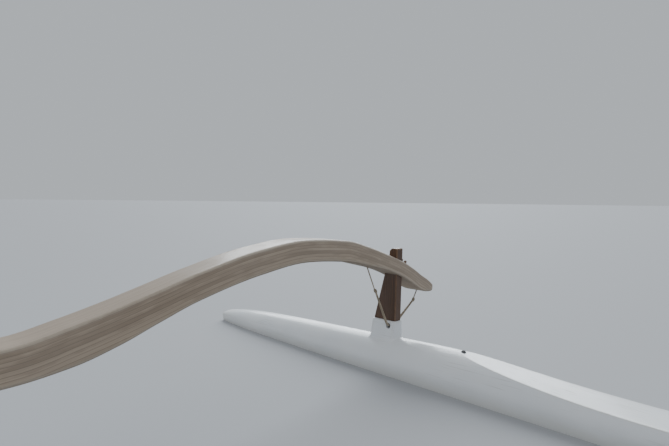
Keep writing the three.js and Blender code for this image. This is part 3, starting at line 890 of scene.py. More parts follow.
def hull_stations(low, high):
    """Places along the hull: close together in its fine ends, wider amidships."""
    fine = HALF_LENGTH - FINE_END
    stern, bow = spaced(-HALF_LENGTH, -fine, FINE_STEP), spaced(fine, HALF_LENGTH, FINE_STEP)
    everywhere = np.concatenate([stern, spaced(-fine, fine, LONG_STEP)[1:-1], bow])
    return [low, *(x for x in everywhere if low + END_GAP < x < high - END_GAP), high]


outside = [hull_ring(x) for x in hull_stations(STEM_ROUND - HALF_LENGTH, HALF_LENGTH - STEM_ROUND)]
room = [hull_ring(x, WALL, ROOM_OVER) for x in hull_stations(COCKPIT_AFT, COCKPIT_FORE)]
hull = skin("hull_skin", rounded_ends(outside, STEM_ROUND))
cavity = skin("cavity", room)
hull.data.materials.append(hull_gelcoat)
cavity.data.materials.append(flow_coat)
dress(cut(hull, cavity), hull_gelcoat, ["hull_shell"])
print("hull:", len(hull.data.polygons), "faces, finishes", [slot.name for slot in hull.data.materials])

# %% [markdown]
# ## The decks
#
# Each end is covered by a crowned deck that sheds spray. Its rim laps over the hull's edge like the lid of
# a shoebox, which hides the joint and stiffens it. The whole section, rim and crown, is one closed ring
# carried along the hull, so the lap follows the sheer by itself.

# %% Decks
DECK_OVERHANG, DECK_EDGE, DECK_CROWN = 130, 14, 46
RIM_PROUD, RIM_DROP, RIM_SOFT, RIM_SOFT_SHARE, RIM_CORNER = 3.5, 11, 6, 0.4, 1
RIM_GAP, DECK_LIFT = 0.6, 0.5  # room between rim and hull, and between deck and sheer
DECK_FORE, DECK_AFT = COCKPIT_FORE - DECK_OVERHANG, COCKPIT_AFT + DECK_OVERHANG
LIP_ROUND = 4


def deck_top(x, y):
    half = sheer_half(x)
    crown = DECK_CROWN * np.minimum(1, half / sheer_half(COCKPIT_FORE))
    return sheer_height(x) + DECK_EDGE + crown * (1 - (y / half) ** 2)


def deck_ring(x):
    half, sheer = sheer_half(x), sheer_height(x)
    outer, soft = half + RIM_PROUD, min(RIM_SOFT, RIM_SOFT_SHARE * half)
    inner, foot = half + RIM_GAP, sheer - RIM_DROP
    rim = [(inner, foot), (outer - RIM_CORNER, foot), (outer, foot + RIM_CORNER)]
    angle = np.linspace(0, math.pi / 2, 6)
    shoulder = deck_top(x, half) - soft
    rim += [(outer - soft + soft * math.cos(a), shoulder + soft * math.sin(a)) for a in angle]
    crown = [(y, deck_top(x, y)) for y in np.linspace(half - soft, 0, 14)[1:]]
    port = [(inner, sheer + DECK_LIFT), *rim, *crown]
    return [(x, y, z) for y, z in port] + [(x, -y, z) for y, z in port[-2::-1]]


for end, low, high in (("bow", DECK_FORE, HALF_LENGTH), ("stern", -HALF_LENGTH, DECK_AFT)):
    rings = [deck_ring(x) for x in hull_stations(low + LIP_ROUND, high - LIP_ROUND)]
    lid = skin(f"{end}_deck_skin", rounded_ends(rings, LIP_ROUND))
    dress(lid, deck_gelcoat, [f"{end}_deck"])
    print(f"{end} deck:", len(lid.data.polygons), "faces")

# %% [markdown]
# ## Gunwales
#
# A wooden rail caps each side of the cockpit. Hands, paddles and the booms rest on it, so its upper corners
# are rounded well and its varnish is worn. The texture space runs along the rail.

# %% Gunwales
GUNWALE_WIDTH, GUNWALE_HEIGHT, GUNWALE_PROUD = 32, 26, 5
GUNWALE_ROUND = (2, 2, 8, 8)
GUNWALE_GAP, GUNWALE_END = 3, 2.5


def gunwale_ring(x, side):
    outer = sheer_half(x) + GUNWALE_PROUD
    low = sheer_height(x) + CLEARANCE
    corners = oblong(outer - GUNWALE_WIDTH, outer, low, low + GUNWALE_HEIGHT)
    outline = eased_outline(corners, GUNWALE_ROUND)
    return [(x, side * y, z) for y, z in outline]


for name, side in (("port", 1), ("starboard", -1)):
    rings = [gunwale_ring(x, side) for x in hull_stations(DECK_AFT + GUNWALE_GAP, DECK_FORE - GUNWALE_GAP)]
    rail = skin(f"gunwale_rail_{name}", rounded_ends(rings, GUNWALE_END))
    dress(rail, trim_wood, [f"gunwale_{name}"], running(X, Y, Z, shift=side * 3.0))
    print(f"gunwale {name}:", len(rail.data.polygons), "faces")

# %% [markdown]
# ## Splashboards
#
# Two low boards stand in a V on each deck and turn aside what comes over the bow. Seen from the cockpit
# they lean a little away. The section of a board is an upright outline with eased corners, carried from one
# end of the V to the other, with its foot let into the crown of the deck. A bead of sealant runs round the
# foot.

# %% Splashboards
SPLASH_HEIGHT, SPLASH_END_HEIGHT = 95, 42
SPLASH_THICK, SPLASH_LEAN, SPLASH_SETBACK, SPLASH_RAKE, SPLASH_MARGIN = 18, 14, 60, 260, 16
SPLASH_ROUND, SPLASH_SINK, SPLASH_ENDS = (0.5, 0.5, 6, 6), 1, 3
BEAD, BEAD_SIDES = 3.5, 10
APEX = 0.03  # how much of the V is rounded at its point


def splash_place(side, edge, toward):
    """Where the board stands for a place from -1 to 1 across it, and how high it is there."""
    ends = edge + toward * SPLASH_SETBACK
    x = ends + toward * SPLASH_RAKE * (1 - math.sqrt(side * side + APEX * APEX) + APEX)
    y = side * (sheer_half(ends) - SPLASH_MARGIN)
    return x, y, SPLASH_HEIGHT - (SPLASH_HEIGHT - SPLASH_END_HEIGHT) * side * side


def splash_ring(side, edge, toward):
    x, y, height = splash_place(side, edge, toward)
    half, head = SPLASH_THICK / 2, deck_top(x, y) + height
    feet = [deck_top(x + offset, y) - SPLASH_SINK for offset in (-half, half)]
    lean = toward * SPLASH_LEAN
    corners = [(x - half, feet[0]), (x + half, feet[1]), (x + half + lean, head), (x - half + lean, head)]
    return [(a, y, z) for a, z in eased_outline(corners, SPLASH_ROUND)]


def bead_ring(side, edge, toward, offset):
    x, y, _ = splash_place(side, edge, toward)
    angles = np.linspace(0, 2 * math.pi, BEAD_SIDES, endpoint=False)
    base = deck_top(x + offset, y)
    return [(x + offset + BEAD * math.cos(a), y, base + BEAD * math.sin(a)) for a in angles]


for end, edge, toward in (("bow", DECK_FORE, 1), ("stern", DECK_AFT, -1)):
    sides = np.linspace(-1, 1, 65)
    rings = [splash_ring(s, edge, toward) for s in sides]
    board = skin(f"{end}_splashboard_board", rounded_ends(rings, SPLASH_ENDS))
    dress(board, trim_wood, [f"{end}_splashboard"], running(Y, Z, X, shift=toward * 5.0))
    foot = SPLASH_THICK / 2
    beads = [[bead_ring(s, edge, toward, offset) for s in sides] for offset in (-foot, foot)]
    dress(skin(f"{end}_splashboard_bead", *beads), sealant)
    print(f"{end} splashboard:", len(board.data.polygons), "faces")

# %% [markdown]
# ## Seats, their rails and the spreaders
#
# The seats are boards across the hull, with their ends cut to the slope of its sides. A plain box would
# leave a wedge-shaped gap there. Here the outline of the board, as seen from the side, is carried from one
# side of the hull to the other, and each of its points stops at the hull's own breadth for that point's
# height. A seat is dished a little, because flat wood is hard to sit on for hours.

# %% Boards that fit between the hull's sides
SEAT_X = {"seat_1": 1750, "seat_2": 550, "seat_3": -640, "seat_4": -1850}
SEAT_LENGTH, SEAT_THICK, SEAT_TOP, SEAT_DISH, SEAT_ROUND = 250, 22, 196, 5, 7
SPREADER_X = {"spreader_front": 1058, "spreader_rear": -1058}
SPREADER_WIDTH, SPREADER_THICK, SPREADER_TOP, SPREADER_ROUND = 108, 22, 306, 4
TOP_POINTS = (0.3, 0.15, 0.0, -0.15, -0.3)  # extra points on a board's top, in its widths from the middle
DISH_REACH = 0.42


def crossboard(name, x, width, top, thick, radius, dish):
    """A board from side to side, with its top hollowed by dish in the middle."""
    outline = eased_outline(oblong(x - width / 2, x + width / 2, top - thick, top), radius)
    outline = np.concatenate([outline, [(x + shift * width, top) for shift in TOP_POINTS]])
    place, height = outline[:, 0] - x, outline[:, 1]
    order = np.argsort(np.arctan2((height - top + thick / 2) / thick, place / width))
    place, height = place[order], height[order]
    reach = hull_half(x + place, height, WALL + CLEARANCE)
    dished = np.clip(1 - (place / (DISH_REACH * width)) ** 2, 0, 1) * (height > top - 1)
    rings = []
    for share in np.linspace(-1, 1, 33):
        rings.append(np.column_stack([x + place, share * reach, height - dish * (1 - share**2) * dished]))
    return skin(name, rings)


seat_size = (SEAT_LENGTH, SEAT_TOP, SEAT_THICK, SEAT_ROUND, SEAT_DISH)
spreader_size = (SPREADER_WIDTH, SPREADER_TOP, SPREADER_THICK, SPREADER_ROUND, 0)
for boards, size, first in ((SEAT_X, seat_size, 0), (SPREADER_X, spreader_size, 9)):
    for number, (node_name, x) in enumerate(boards.items()):
        board = crossboard(f"{node_name}_board", x, *size)
        dress(board, seat_wood, [node_name], running(Y, X, Z, shift=first + number * 1.7))
print("four seats and two spreaders,", len(board.data.polygons), "faces each")

# %% Seat rails
SEAT_RAIL_AFT, SEAT_RAIL_FORE, SEAT_RAIL_DEPTH, SEAT_RAIL_WIDTH = -2150, 2050, 26, 22
SEAT_RAIL_ROUND, SEAT_RAIL_END, SEAT_RAIL_END_ROUND = (5, 1, 1, 4), 5, 4.5


def seat_rail_ring(x, side):
    high = SEAT_TOP - SEAT_THICK - CLEARANCE
    low = high - SEAT_RAIL_DEPTH
    foot, head = (hull_half(x, z, WALL + CLEARANCE) for z in (low, high))
    corners = [(foot - SEAT_RAIL_WIDTH, low), (foot, low), (head, high), (head - SEAT_RAIL_WIDTH, high)]
    return [(x, side * y, z) for y, z in eased_outline(corners, SEAT_RAIL_ROUND)]


for name, side in (("port", 1), ("starboard", -1)):
    along = spaced(SEAT_RAIL_AFT + SEAT_RAIL_END, SEAT_RAIL_FORE - SEAT_RAIL_END, 60)
    rings = [seat_rail_ring(x, side) for x in along]
    rail = skin(f"seat_rail_strip_{name}", rounded_ends(rings, SEAT_RAIL_END_ROUND))
    dress(rail, seat_wood, [f"seat_rail_{name}"], running(X, Z, Y, shift=side * 2.0))
print("seat rails:", len(rail.data.polygons), "faces each")

# %% [markdown]
# ## The booms
#
# Each boom is one curved beam: flat where it crosses the hull, arched high beyond it, and coming down to
# the float with a thicker shoulder for the post. Its outline in the side view is a table of heights, and
# its section is a rectangle with well rounded corners. The texture space follows the beam: along is the
# true length round the curve, and through is measured from the top face, so the glued strips bend with the
# beam and run out where its underside is sawn level at the tip. A few points across each flat keep a hole
# that is cut later from marking the shading far round it.

# %% Shape of a boom
BOOM_X = {"front": 1058, "rear": -1058}
BOOM_WIDTH, BOOM_ROUND = 116, 9
BOOM_TIP_ROUND, BOOM_TIP_RUN = 16, 60
BOOM_ACROSS = np.linspace(-0.66, 0.66, 9)
BOOM_OUTLINE = [
    # y, top, bottom
    (-330, 418, 350),
    (-250, 425, 341),
    (120, 425, 341),
    (430, 425, 341),
    (600, 431, 343.5),
    (720, 454, 356),
    (825, 480, 383),
    (930, 509.5, 421),
    (1047, 543, 461),
    (1270, 593, 511),
    (1460, 613, 533),
    (1680, 599, 517),
    (1820, 565, 487),
    (1940, 526.5, 457),
    (2058, 485, 415),
    (2150, 441.5, 369),
    (2204, 411.5, 341),
    (2260, 384, 324),
    (2304, 356, 320),
]
boom_top, boom_bottom = column(BOOM_OUTLINE, 1), column(BOOM_OUTLINE, 2)
BOOM_START, BOOM_TIP = BOOM_OUTLINE[0][0], BOOM_OUTLINE[-1][0]
BOOM_END_ROUND, BOOM_STEP = 5, 8

measured_y = spaced(BOOM_START, BOOM_TIP, 4)
measured_top = boom_top(measured_y)
round_curve = np.append(0, np.cumsum(np.hypot(np.diff(measured_y), np.diff(measured_top))))
lean_of_top = np.cos(np.arctan(np.gradient(measured_top, measured_y)))


def boom_outline(y):
    """The section of a boom, with its lower corners rounded more at the tip."""
    half, low, high = BOOM_WIDTH / 2, boom_bottom(y), boom_top(y)
    under = BOOM_ROUND + (BOOM_TIP_ROUND - BOOM_ROUND) * max(0, 1 - (BOOM_TIP - y) / BOOM_TIP_RUN)
    outline = eased_outline(oblong(-half, half, low, high), (under, under, BOOM_ROUND, BOOM_ROUND))
    across = half * BOOM_ACROSS
    flats = [np.column_stack([way * across, np.full(len(across), z)]) for way, z in ((1, low), (-1, high))]
    first, second, third, fourth = np.split(outline, 4)
    return np.concatenate([first, flats[0], second, third, flats[1], fourth])


def boom_space(shift):
    """Texture space of a boom: along its curve, across it, and down from its top face."""

    def space(places):
        y = places[:, 1] / MM
        along = np.interp(y, measured_y, round_curve) * MM + shift
        depth = (boom_top(y) - places[:, 2] / MM) * np.interp(y, measured_y, lean_of_top) * MM
        return np.column_stack([along, places[:, 0], depth])

    return space


print("length round the curve:", round(float(round_curve[-1])), "mm")

# %% [markdown]
# ## Posts, wedges and pedestals
#
# A post is a board that stands fore and aft. It passes up through a mortise in the boom and down into a
# foot moulded on the float. Its forward edge is upright and its aft edge is raked. A slab is built like a
# cushion with a hard core: the outline is repeated through its thickness, and drawn in a little at each
# face to round the edge all the way round. A wedge is driven in beside the post, and a headed peg keeps it
# from working out.

# %% Slab with rounded edges
def slab(name, outline, middle, half, radius, steps=3):
    """An eased outline in (a, z), made thick along y by half to both sides of its middle, edges rounded."""
    outline = np.asarray(outline, float)
    low, high = middle - half, middle + half
    tangent = np.roll(outline, -1, axis=0) - np.roll(outline, 1, axis=0)
    normal = np.column_stack([tangent[:, 1], -tangent[:, 0]]) / np.linalg.norm(tangent, axis=1)[:, None]
    turn = np.linspace(0, math.pi / 2, steps + 1)
    levels = [(low + radius * (1 - math.sin(t)), radius * (1 - math.cos(t))) for t in turn[::-1]]
    levels = [(low, 1.25 * radius), *levels, (low + radius + GUARD, 0)]
    levels += [(low + high - y, inset) for y, inset in levels[::-1]]
    rings = []
    for y, inset in levels:
        a, z = (outline - normal * inset).T
        rings.append(np.column_stack([a, np.full(len(a), y), z]))
    return skin(name, rings)


FLOAT_Y, POST_THICK = 2040, 44
POST_FORE, POST_HEAD_FORE, POST_BASE_AFT, POST_HEAD_AFT = -17, -11, -132, -53
TENON_FOOT, POST_SHOULDER, POST_RAKE_TOP, POST_HEAD, POST_CORNER = 168, 222, 520, 544, 12
POST_ROUND, POST_EDGE = 5, 3.5


def post_outline(face, grow=0.0):
    aft, fore = face - grow, face + grow
    return [
        (aft + POST_BASE_AFT, TENON_FOOT),
        (fore + POST_FORE, TENON_FOOT),
        (fore + POST_FORE, POST_SHOULDER),
        (fore + POST_HEAD_FORE, POST_HEAD + grow),
        (aft + POST_HEAD_AFT + POST_CORNER, POST_HEAD + grow),
        (aft + POST_HEAD_AFT, POST_HEAD - POST_CORNER),
        (aft + POST_HEAD_AFT, POST_RAKE_TOP),
        (aft + POST_BASE_AFT, POST_SHOULDER),
    ]


MORTISE_GAP, MORTISE_CORNER, MORTISE_EDGE = 0.9, 1, 0.5
STAY_BORE_RADIUS, STAY_BORE_REACH = 5, 150
STAY_HOLE_RADIUS, STAY_HOLE_X, STAY_HOLE_Z = 12, -45, 200
STAYS = [
    # name, side of the post, place of the hole along the boom, place and height of the knot
    ("inboard", -1, 1869, 1921, 367),
    ("outboard", 1, 2250, 2216, 285),
]

print("slabs are ready")

# %% Booms, posts and wedges
WEDGE_WIDTH, WEDGE_AFT = 40, -60.5
WEDGE_FOOT, WEDGE_FOOT_THICK, WEDGE_TOP, WEDGE_TOP_THICK = 425, 3, 497, 18
WEDGE_ROUND, WEDGE_ROOM_ROUND, WEDGE_HEAD_ROUND = 2, 0.3, 2.5
PEG_X, PEG_Y = -12, 2083
PEG_PROFILE = [(4.5, -12), (5, 0), (5.2, 4), (6.4, 6), (6.6, 9), (5.8, 11.4), (3.4, 12.8), (0.5, 13.2)]


def wedge_rings(face, grow=0.0):
    """Rings upward: a wedge driven between the post and the boom, with a battered head."""
    inner = FLOAT_Y + POST_THICK / 2 + CLEARANCE
    rings = []
    for z in np.linspace(WEDGE_FOOT - grow, WEDGE_TOP, 16):
        swell = (WEDGE_TOP_THICK - WEDGE_FOOT_THICK) * (z - WEDGE_FOOT) / (WEDGE_TOP - WEDGE_FOOT)
        outer = inner + WEDGE_FOOT_THICK + swell
        aft = face + WEDGE_AFT - grow
        corners = oblong(aft, aft + WEDGE_WIDTH + 2 * grow, inner - grow, outer + grow)
        outline = eased_outline(corners, WEDGE_ROOM_ROUND if grow else WEDGE_ROUND)
        rings.append([(x, y, z) for x, y in outline])
    return rings


for number, (end, x) in enumerate(BOOM_X.items()):
    face = x + BOOM_WIDTH / 2
    rings = []
    for y in spaced(BOOM_START + BOOM_END_ROUND, BOOM_TIP - BOOM_END_ROUND, BOOM_STEP):
        rings.append([(x + a, y, z) for a, z in boom_outline(y)])
    boom = skin(f"boom_beam_{end}", rounded_ends(rings, BOOM_END_ROUND))
    outline = eased_outline(post_outline(face, MORTISE_GAP), MORTISE_CORNER)
    cut(boom, slab("mortise", outline, FLOAT_Y, POST_THICK / 2 + MORTISE_GAP, MORTISE_EDGE))
    cut(boom, skin("wedge_room", wedge_rings(face, MORTISE_GAP)))
    for _, _, y, _, _ in STAYS:
        drill(boom, STAY_BORE_RADIUS, (x, y, boom_top(y)), Z, STAY_BORE_REACH)
    dress(boom, boom_wood, [f"boom_{end}"], boom_space(shift=number * 3.7))

    outline = eased_outline(post_outline(face), POST_ROUND)
    post = slab(f"post_board_{end}", outline, FLOAT_Y, POST_THICK / 2, POST_EDGE)
    drill(post, STAY_HOLE_RADIUS, (face + STAY_HOLE_X, FLOAT_Y, STAY_HOLE_Z), Y)
    dress(post, post_wood, [f"post_{end}"], running(Z, X, Y, shift=number * 2.3))
    wedge = skin(f"wedge_{end}_key", rounded_ends(wedge_rings(face)[:-1], WEDGE_HEAD_ROUND))
    dress(wedge, post_wood, [f"wedge_{end}"], running(Z, X, Y, shift=4 + number))
    peg = skin(f"peg_{end}", turned(PEG_PROFILE, (face + PEG_X, PEG_Y, boom_top(PEG_Y)), sides=20))
    dress(peg, post_wood, grain=running(Z, X, Y, shift=7 + number))
    print(f"{end} boom, post and wedge:", [len(made.data.polygons) for made in (boom, post, wedge)], "faces")

# %% [markdown]
# ## The float
#
# The float carries the canoe's balance. It is an oval body, drawn fine at its tail and turned up at its
# nose, with a long flat scoop taken out of its top between the posts. The scoop's edges must stay crisp and
# still catch the light, so every ring has its points placed on that edge, with a small fillet on it,
# instead of leaving it to fall between two rows of a grid. Both ends close to a blunt round.

# %% Float
FLOAT_SECTIONS = [
    # x, half beam, ridge, height of the widest place, keel
    (-2310, 52, 53, 40, -36),
    (-2292, 55, 57, 40, -46),
    (-2200, 66, 73, 40, -64),
    (-2000, 80, 96, 40, -84),
    (-1700, 88, 115, 42, -97),
    (-1300, 94, 132, 45, -106),
    (-710, 96, 156, 50, -112),
    (0, 96, 161, 50, -114),
    (710, 95, 156, 50, -112),
    (1300, 90, 155, 46, -100),
    (1700, 80, 176, 60, -72),
    (2000, 64, 214, 96, -18),
    (2200, 42, 252, 150, 62),
    (2290, 20, 274, 204, 140),
]
SCOOP_HALF_LENGTH, SCOOP_DEPTH, RIDGE_ANGLE, FLOAT_EDGE = 710, 56, 0.13, 3
TAIL_ROUND, NOSE_ROUND, LEAST_SIZE = 10, 26, 0.03
FILLET_PLACES = (0.25, 0.5, 0.75)
float_half, float_ridge, float_waist, float_keel = (column(FLOAT_SECTIONS, k) for k in (1, 2, 3, 4))
FLOAT_TAIL, FLOAT_NOSE = FLOAT_SECTIONS[0][0], FLOAT_SECTIONS[-1][0]


def float_top(x, y):
    """Height of the float's upper skin, outside the scoop."""
    across = np.clip((y - FLOAT_Y) / float_half(x), -1, 1)
    return float_waist(x) + (float_ridge(x) - float_waist(x)) * np.sqrt(1 - across**2)


def arc(waist, half, height, angles):
    """Points of a half oval over or under its waist, with angles counted from straight up."""
    return [(half * math.sin(a), waist + height * math.cos(a)) for a in angles]


def curve(start, corner, end, t):
    """A place on the short curve that stands for a corner, with t from 0 to 1."""
    return (1 - t) ** 2 * start + 2 * t * (1 - t) * corner + t * t * end


def float_ring(x):
    half, waist = float_half(x), float_waist(x)
    rise, drop = float_ridge(x) - waist, waist - float_keel(x)
    start = RIDGE_ANGLE
    if abs(x) < SCOOP_HALF_LENGTH:
        floor = float_ridge(SCOOP_HALF_LENGTH) - SCOOP_DEPTH * (1 - (x / SCOOP_HALF_LENGTH) ** 2)
        start = max(start, math.acos(min(1, (floor - waist) / rise)))
    reach = min(FLOAT_EDGE, ROUND_SHARE * half * math.sin(start))
    before = start + reach / math.hypot(half * math.cos(start), rise * math.sin(start))
    lower = arc(waist, half, drop, np.linspace(math.pi, math.pi / 2, 15)[:-1])
    upper = arc(waist, half, rise, np.linspace(math.pi / 2, before, 18))
    edge = np.array(arc(waist, half, rise, [start])[0])
    on_flat = edge - (reach, 0)
    fillet = [curve(np.array(upper[-1]), edge, on_flat, t) for t in FILLET_PLACES]
    flat = [(y, edge[1]) for y in np.linspace(on_flat[0], 0, 5)]
    side = np.array([*lower, *upper, *fillet, *flat])
    ring = np.concatenate([side, side[-2:0:-1] * (-1, 1)])
    closing = min((x - FLOAT_TAIL) / TAIL_ROUND, (FLOAT_NOSE - x) / NOSE_ROUND, 1)
    size = math.sqrt(max(1 - (1 - closing) ** 2, LEAST_SIZE**2))
    middle = waist + (rise - drop) / 2
    y, z = ring.T
    return np.column_stack([np.full(len(ring), x), FLOAT_Y + y * size, middle + (z - middle) * size])


tail_end = FLOAT_TAIL + TAIL_ROUND * (1 - np.cos(np.linspace(0, math.pi / 2, 12)))
nose_end = FLOAT_NOSE - NOSE_ROUND * (1 - np.cos(np.linspace(math.pi / 2, 0, 10)))
stations = np.concatenate([tail_end, spaced(tail_end[-1], nose_end[0], 17)[1:-1], nose_end])
float_skin = skin("float_skin", [float_ring(x) for x in stations])
dress(float_skin, hull_gelcoat, ["float"])
print("float:", len(float_skin.data.polygons), "faces")

# %% [markdown]
# ## Pedestals
#
# The post doesn't stand on the float: it goes into a foot that was moulded in one with it. What tells the
# eye that it is one piece is the fillet, the hollow curve where the foot meets the float. Each ring of the
# foot is laid on the float's own surface first and then turned up into the wall, so the fillet has the same
# radius all the way round. The lip rolls over at the top and goes down beside the post.

# %% Pedestals
PEDESTAL_WALL, PEDESTAL_FLARE, PEDESTAL_NOSE, PEDESTAL_HEEL = 9, 0.12, 0.55, 0.4
FILLET, LIP, TENON_GAP = 13, 4, 0.7
FOOT_SINK, SOCKET_DEPTH = 0.6, 12


def pedestal_outline(face, wall, grow=0.0):
    aft, fore = face + POST_BASE_AFT - wall - grow, face + POST_FORE + PEDESTAL_WALL + grow
    half = POST_THICK / 2 + wall + grow
    nose, heel = PEDESTAL_NOSE * half, PEDESTAL_HEEL * half
    front, back = np.linspace(-math.pi / 2, math.pi / 2, 17), np.linspace(math.pi / 2, 1.5 * math.pi, 17)
    side = np.linspace(fore - nose, aft + heel, 10)[1:-1]
    straight = np.full(len(side), half)
    nose_x, heel_x = fore - nose + nose * np.cos(front), aft + heel + heel * np.cos(back)
    x = np.concatenate([nose_x, side, heel_x, side[::-1]])
    y = np.concatenate([half * np.sin(front), straight, half * np.sin(back), -straight])
    return x, FLOAT_Y + y


def pedestal_rings(face):
    base_wall = PEDESTAL_WALL + PEDESTAL_FLARE * (POST_SHOULDER - float_ridge(face))
    rings = []
    for turn in np.linspace(0, math.pi / 2, 7):
        x, y = pedestal_outline(face, base_wall, FILLET * (1 - math.sin(turn)))
        rings.append((x, y, float_top(x, y) + FILLET * (1 - math.cos(turn)) - FOOT_SINK))
    foot = rings[-1][2]
    for share in np.linspace(0, 1, 9)[1:]:
        x, y = pedestal_outline(face, base_wall + (PEDESTAL_WALL - base_wall) * share)
        rings.append((x, y, foot + (POST_SHOULDER - LIP - foot) * share))
    for turn in np.linspace(0, math.pi / 2, 6)[1:]:
        x, y = pedestal_outline(face, PEDESTAL_WALL, -LIP * (1 - math.cos(turn)))
        rings.append((x, y, np.full(len(x), POST_SHOULDER - LIP + LIP * math.sin(turn))))
    aft, fore = face + POST_BASE_AFT - TENON_GAP, face + POST_FORE + TENON_GAP
    side = POST_THICK / 2 + TENON_GAP
    x, y = np.clip(x, aft, fore), np.clip(y, FLOAT_Y - side, FLOAT_Y + side)
    rings += [(x, y, np.full(len(x), z)) for z in (POST_SHOULDER, POST_SHOULDER - SOCKET_DEPTH)]
    return [np.column_stack(ring) for ring in rings]


for end, x in BOOM_X.items():
    face = x + BOOM_WIDTH / 2
    foot = skin(f"pedestal_{end}_foot", pedestal_rings(face))
    drill(foot, STAY_HOLE_RADIUS, (face + STAY_HOLE_X, FLOAT_Y, STAY_HOLE_Z), Y)
    dress(foot, hull_gelcoat, [f"pedestal_{end}"])
    print(f"{end} pedestal:", len(foot.data.polygons), "faces")

# %% [markdown]
# ## Plug and hatches
#
# The float has a drain plug on its ridge, and each bulkhead a round hatch that is opened by hand, with
# three bars across its lid. Both are black plastic, moulded from a profile, and the bars are boards with
# round ends.

# %% Plug and hatches
PLUG_X = -698
PLUG_PROFILE = [(9, -6), (10, -1), (10, 0.2), (9.4, 0.9), (7.4, 1.1), (7.4, 3.0), (6.8, 3.6)]
PLUG_PROFILE += [(3.9, 3.6), (3.6, 3.3), (3.4, 1.8), (0.5, 1.8)]
plug = skin("float_plug_cap", turned(PLUG_PROFILE, (PLUG_X, FLOAT_Y, float_ridge(PLUG_X))))
dress(plug, black_plastic, ["float_plug"])

HATCH_Z = 110
HATCH_PROFILE = [(61, 0.2), (62, 1), (62, 3), (61, 4.4), (53.5, 5), (52.6, 4.4), (52, 2.6), (50, 2.6)]
HATCH_PROFILE += [(49.4, 4), (49, 8), (47.6, 9.4), (43, 9.6), (42.4, 9), (31, 9), (30.4, 9.6), (28, 9.6)]
HATCH_PROFILE += [(27.4, 9), (0.5, 9)]
GRIPS, GRIP_LONG, GRIP_WIDE, GRIP_FOOT, GRIP_HIGH = 3, 40, 6.5, 6, 12
GRIP_SLOPE, GRIP_ROUND, GRIP_END = 1.5, (0.5, 0.5, 3, 3), 2.5


def grip(centre, angle, direction):
    """A rounded bar across the lid, for fingers to turn it by."""
    top = GRIP_WIDE - GRIP_SLOPE
    corners = [(-GRIP_WIDE, GRIP_FOOT), (GRIP_WIDE, GRIP_FOOT), (top, GRIP_HIGH), (-top, GRIP_HIGH)]
    across, height = eased_outline(corners, GRIP_ROUND).T
    rings = []
    for along in np.linspace(-GRIP_LONG, GRIP_LONG, 13):
        y = along * math.cos(angle) - across * math.sin(angle)
        z = along * math.sin(angle) + across * math.cos(angle)
        rings.append(np.column_stack([direction * height, y, z]) + centre)
    return rounded_ends(rings, GRIP_END)


for end, wall, direction in (("stern", COCKPIT_AFT, 1), ("bow", COCKPIT_FORE, -1)):
    centre = (wall, 0, HATCH_Z)
    bodies = [grip(centre, math.pi * k / GRIPS, direction) for k in range(GRIPS)]
    lid = skin(f"hatch_{end}_lid", turned(HATCH_PROFILE, centre, X, 72, direction), *bodies)
    dress(lid, black_plastic, [f"hatch_{end}"])
print("plug and hatches:", len(plug.data.polygons), "and", len(lid.data.polygons), "faces")

# %% [markdown]
# ## Screws
#
# Gunwales, seats and hatches are held by small screws with a round hollow in their heads. Each could be an
# object, but there are dozens and they never move. One mesh per row of screws is lighter, and its name says
# what it holds.

# %% Screws
SCREW_PROFILE = [(4.4, -0.6), (4.5, 0.3), (4.1, 1.1), (3.0, 1.7), (2.1, 1.9), (1.9, 1.7)]
SCREW_PROFILE += [(1.8, 0.8), (0.3, 0.8)]
GUNWALE_SCREW_INSET, GUNWALE_SCREW_STEP = 60, 300
SEAT_SCREW_INSET, SEAT_SCREW_REACH = 16, 85
HATCH_SCREWS, HATCH_SCREW_RING, HATCH_SCREW_PROUD = 8, 57, 4.6


def screws(name, places, axis, direction):
    """One piece of many screws whose heads face along an axis."""
    heads = [turned(SCREW_PROFILE, place, axis, 14, direction) for place in places]
    return dress(skin(name, *heads), steel)


for name, side in (("port", 1), ("starboard", -1)):
    along = spaced(DECK_AFT + GUNWALE_SCREW_INSET, DECK_FORE - GUNWALE_SCREW_INSET, GUNWALE_SCREW_STEP)
    height = sheer_height(along) + GUNWALE_HEIGHT / 2
    places = np.column_stack([along, side * (sheer_half(along) + GUNWALE_PROUD), height])
    screws(f"gunwale_screws_{name}", places, Y, side)
for node_name, x in SEAT_X.items():
    y = hull_half(x, SEAT_TOP, WALL) - SEAT_SCREW_INSET
    corners = [(x + a * SEAT_SCREW_REACH, b * y, SEAT_TOP) for a in (-1, 1) for b in (-1, 1)]
    screws(f"{node_name}_screws", corners, Z, 1)
for end, wall, direction in (("stern", COCKPIT_AFT, 1), ("bow", COCKPIT_FORE, -1)):
    turns = np.linspace(0, 2 * math.pi, HATCH_SCREWS, endpoint=False) + math.pi / HATCH_SCREWS
    y, z = HATCH_SCREW_RING * np.cos(turns), HATCH_Z + HATCH_SCREW_RING * np.sin(turns)
    rim = np.column_stack([np.full(HATCH_SCREWS, wall + direction * HATCH_SCREW_PROUD), y, z])
    screws(f"hatch_{end}_screws", rim, X, direction)
print(2 * len(along) + 4 * len(SEAT_X) + 2 * HATCH_SCREWS, "screws")

# %% [markdown]
# ## Rope
#
# A laid rope is three strands twisted together. It could be three curves wound round each other, but their
# meshes would run through one another. One tube whose outline has three lobes, turned a little at each
# ring, shows the same lay and stays a single closed skin. Texture space runs along and around it for the
# yarns.

# %% Rope
ROPE_LAY = 6.5
LOBES, LOBE_DEPTH, ROPE_POINTS, ROPE_STEP = 3, 0.13, 12, 2.6
ASLANT = (0.3, 0.5, 0.81)  # a direction in which no rope sets out


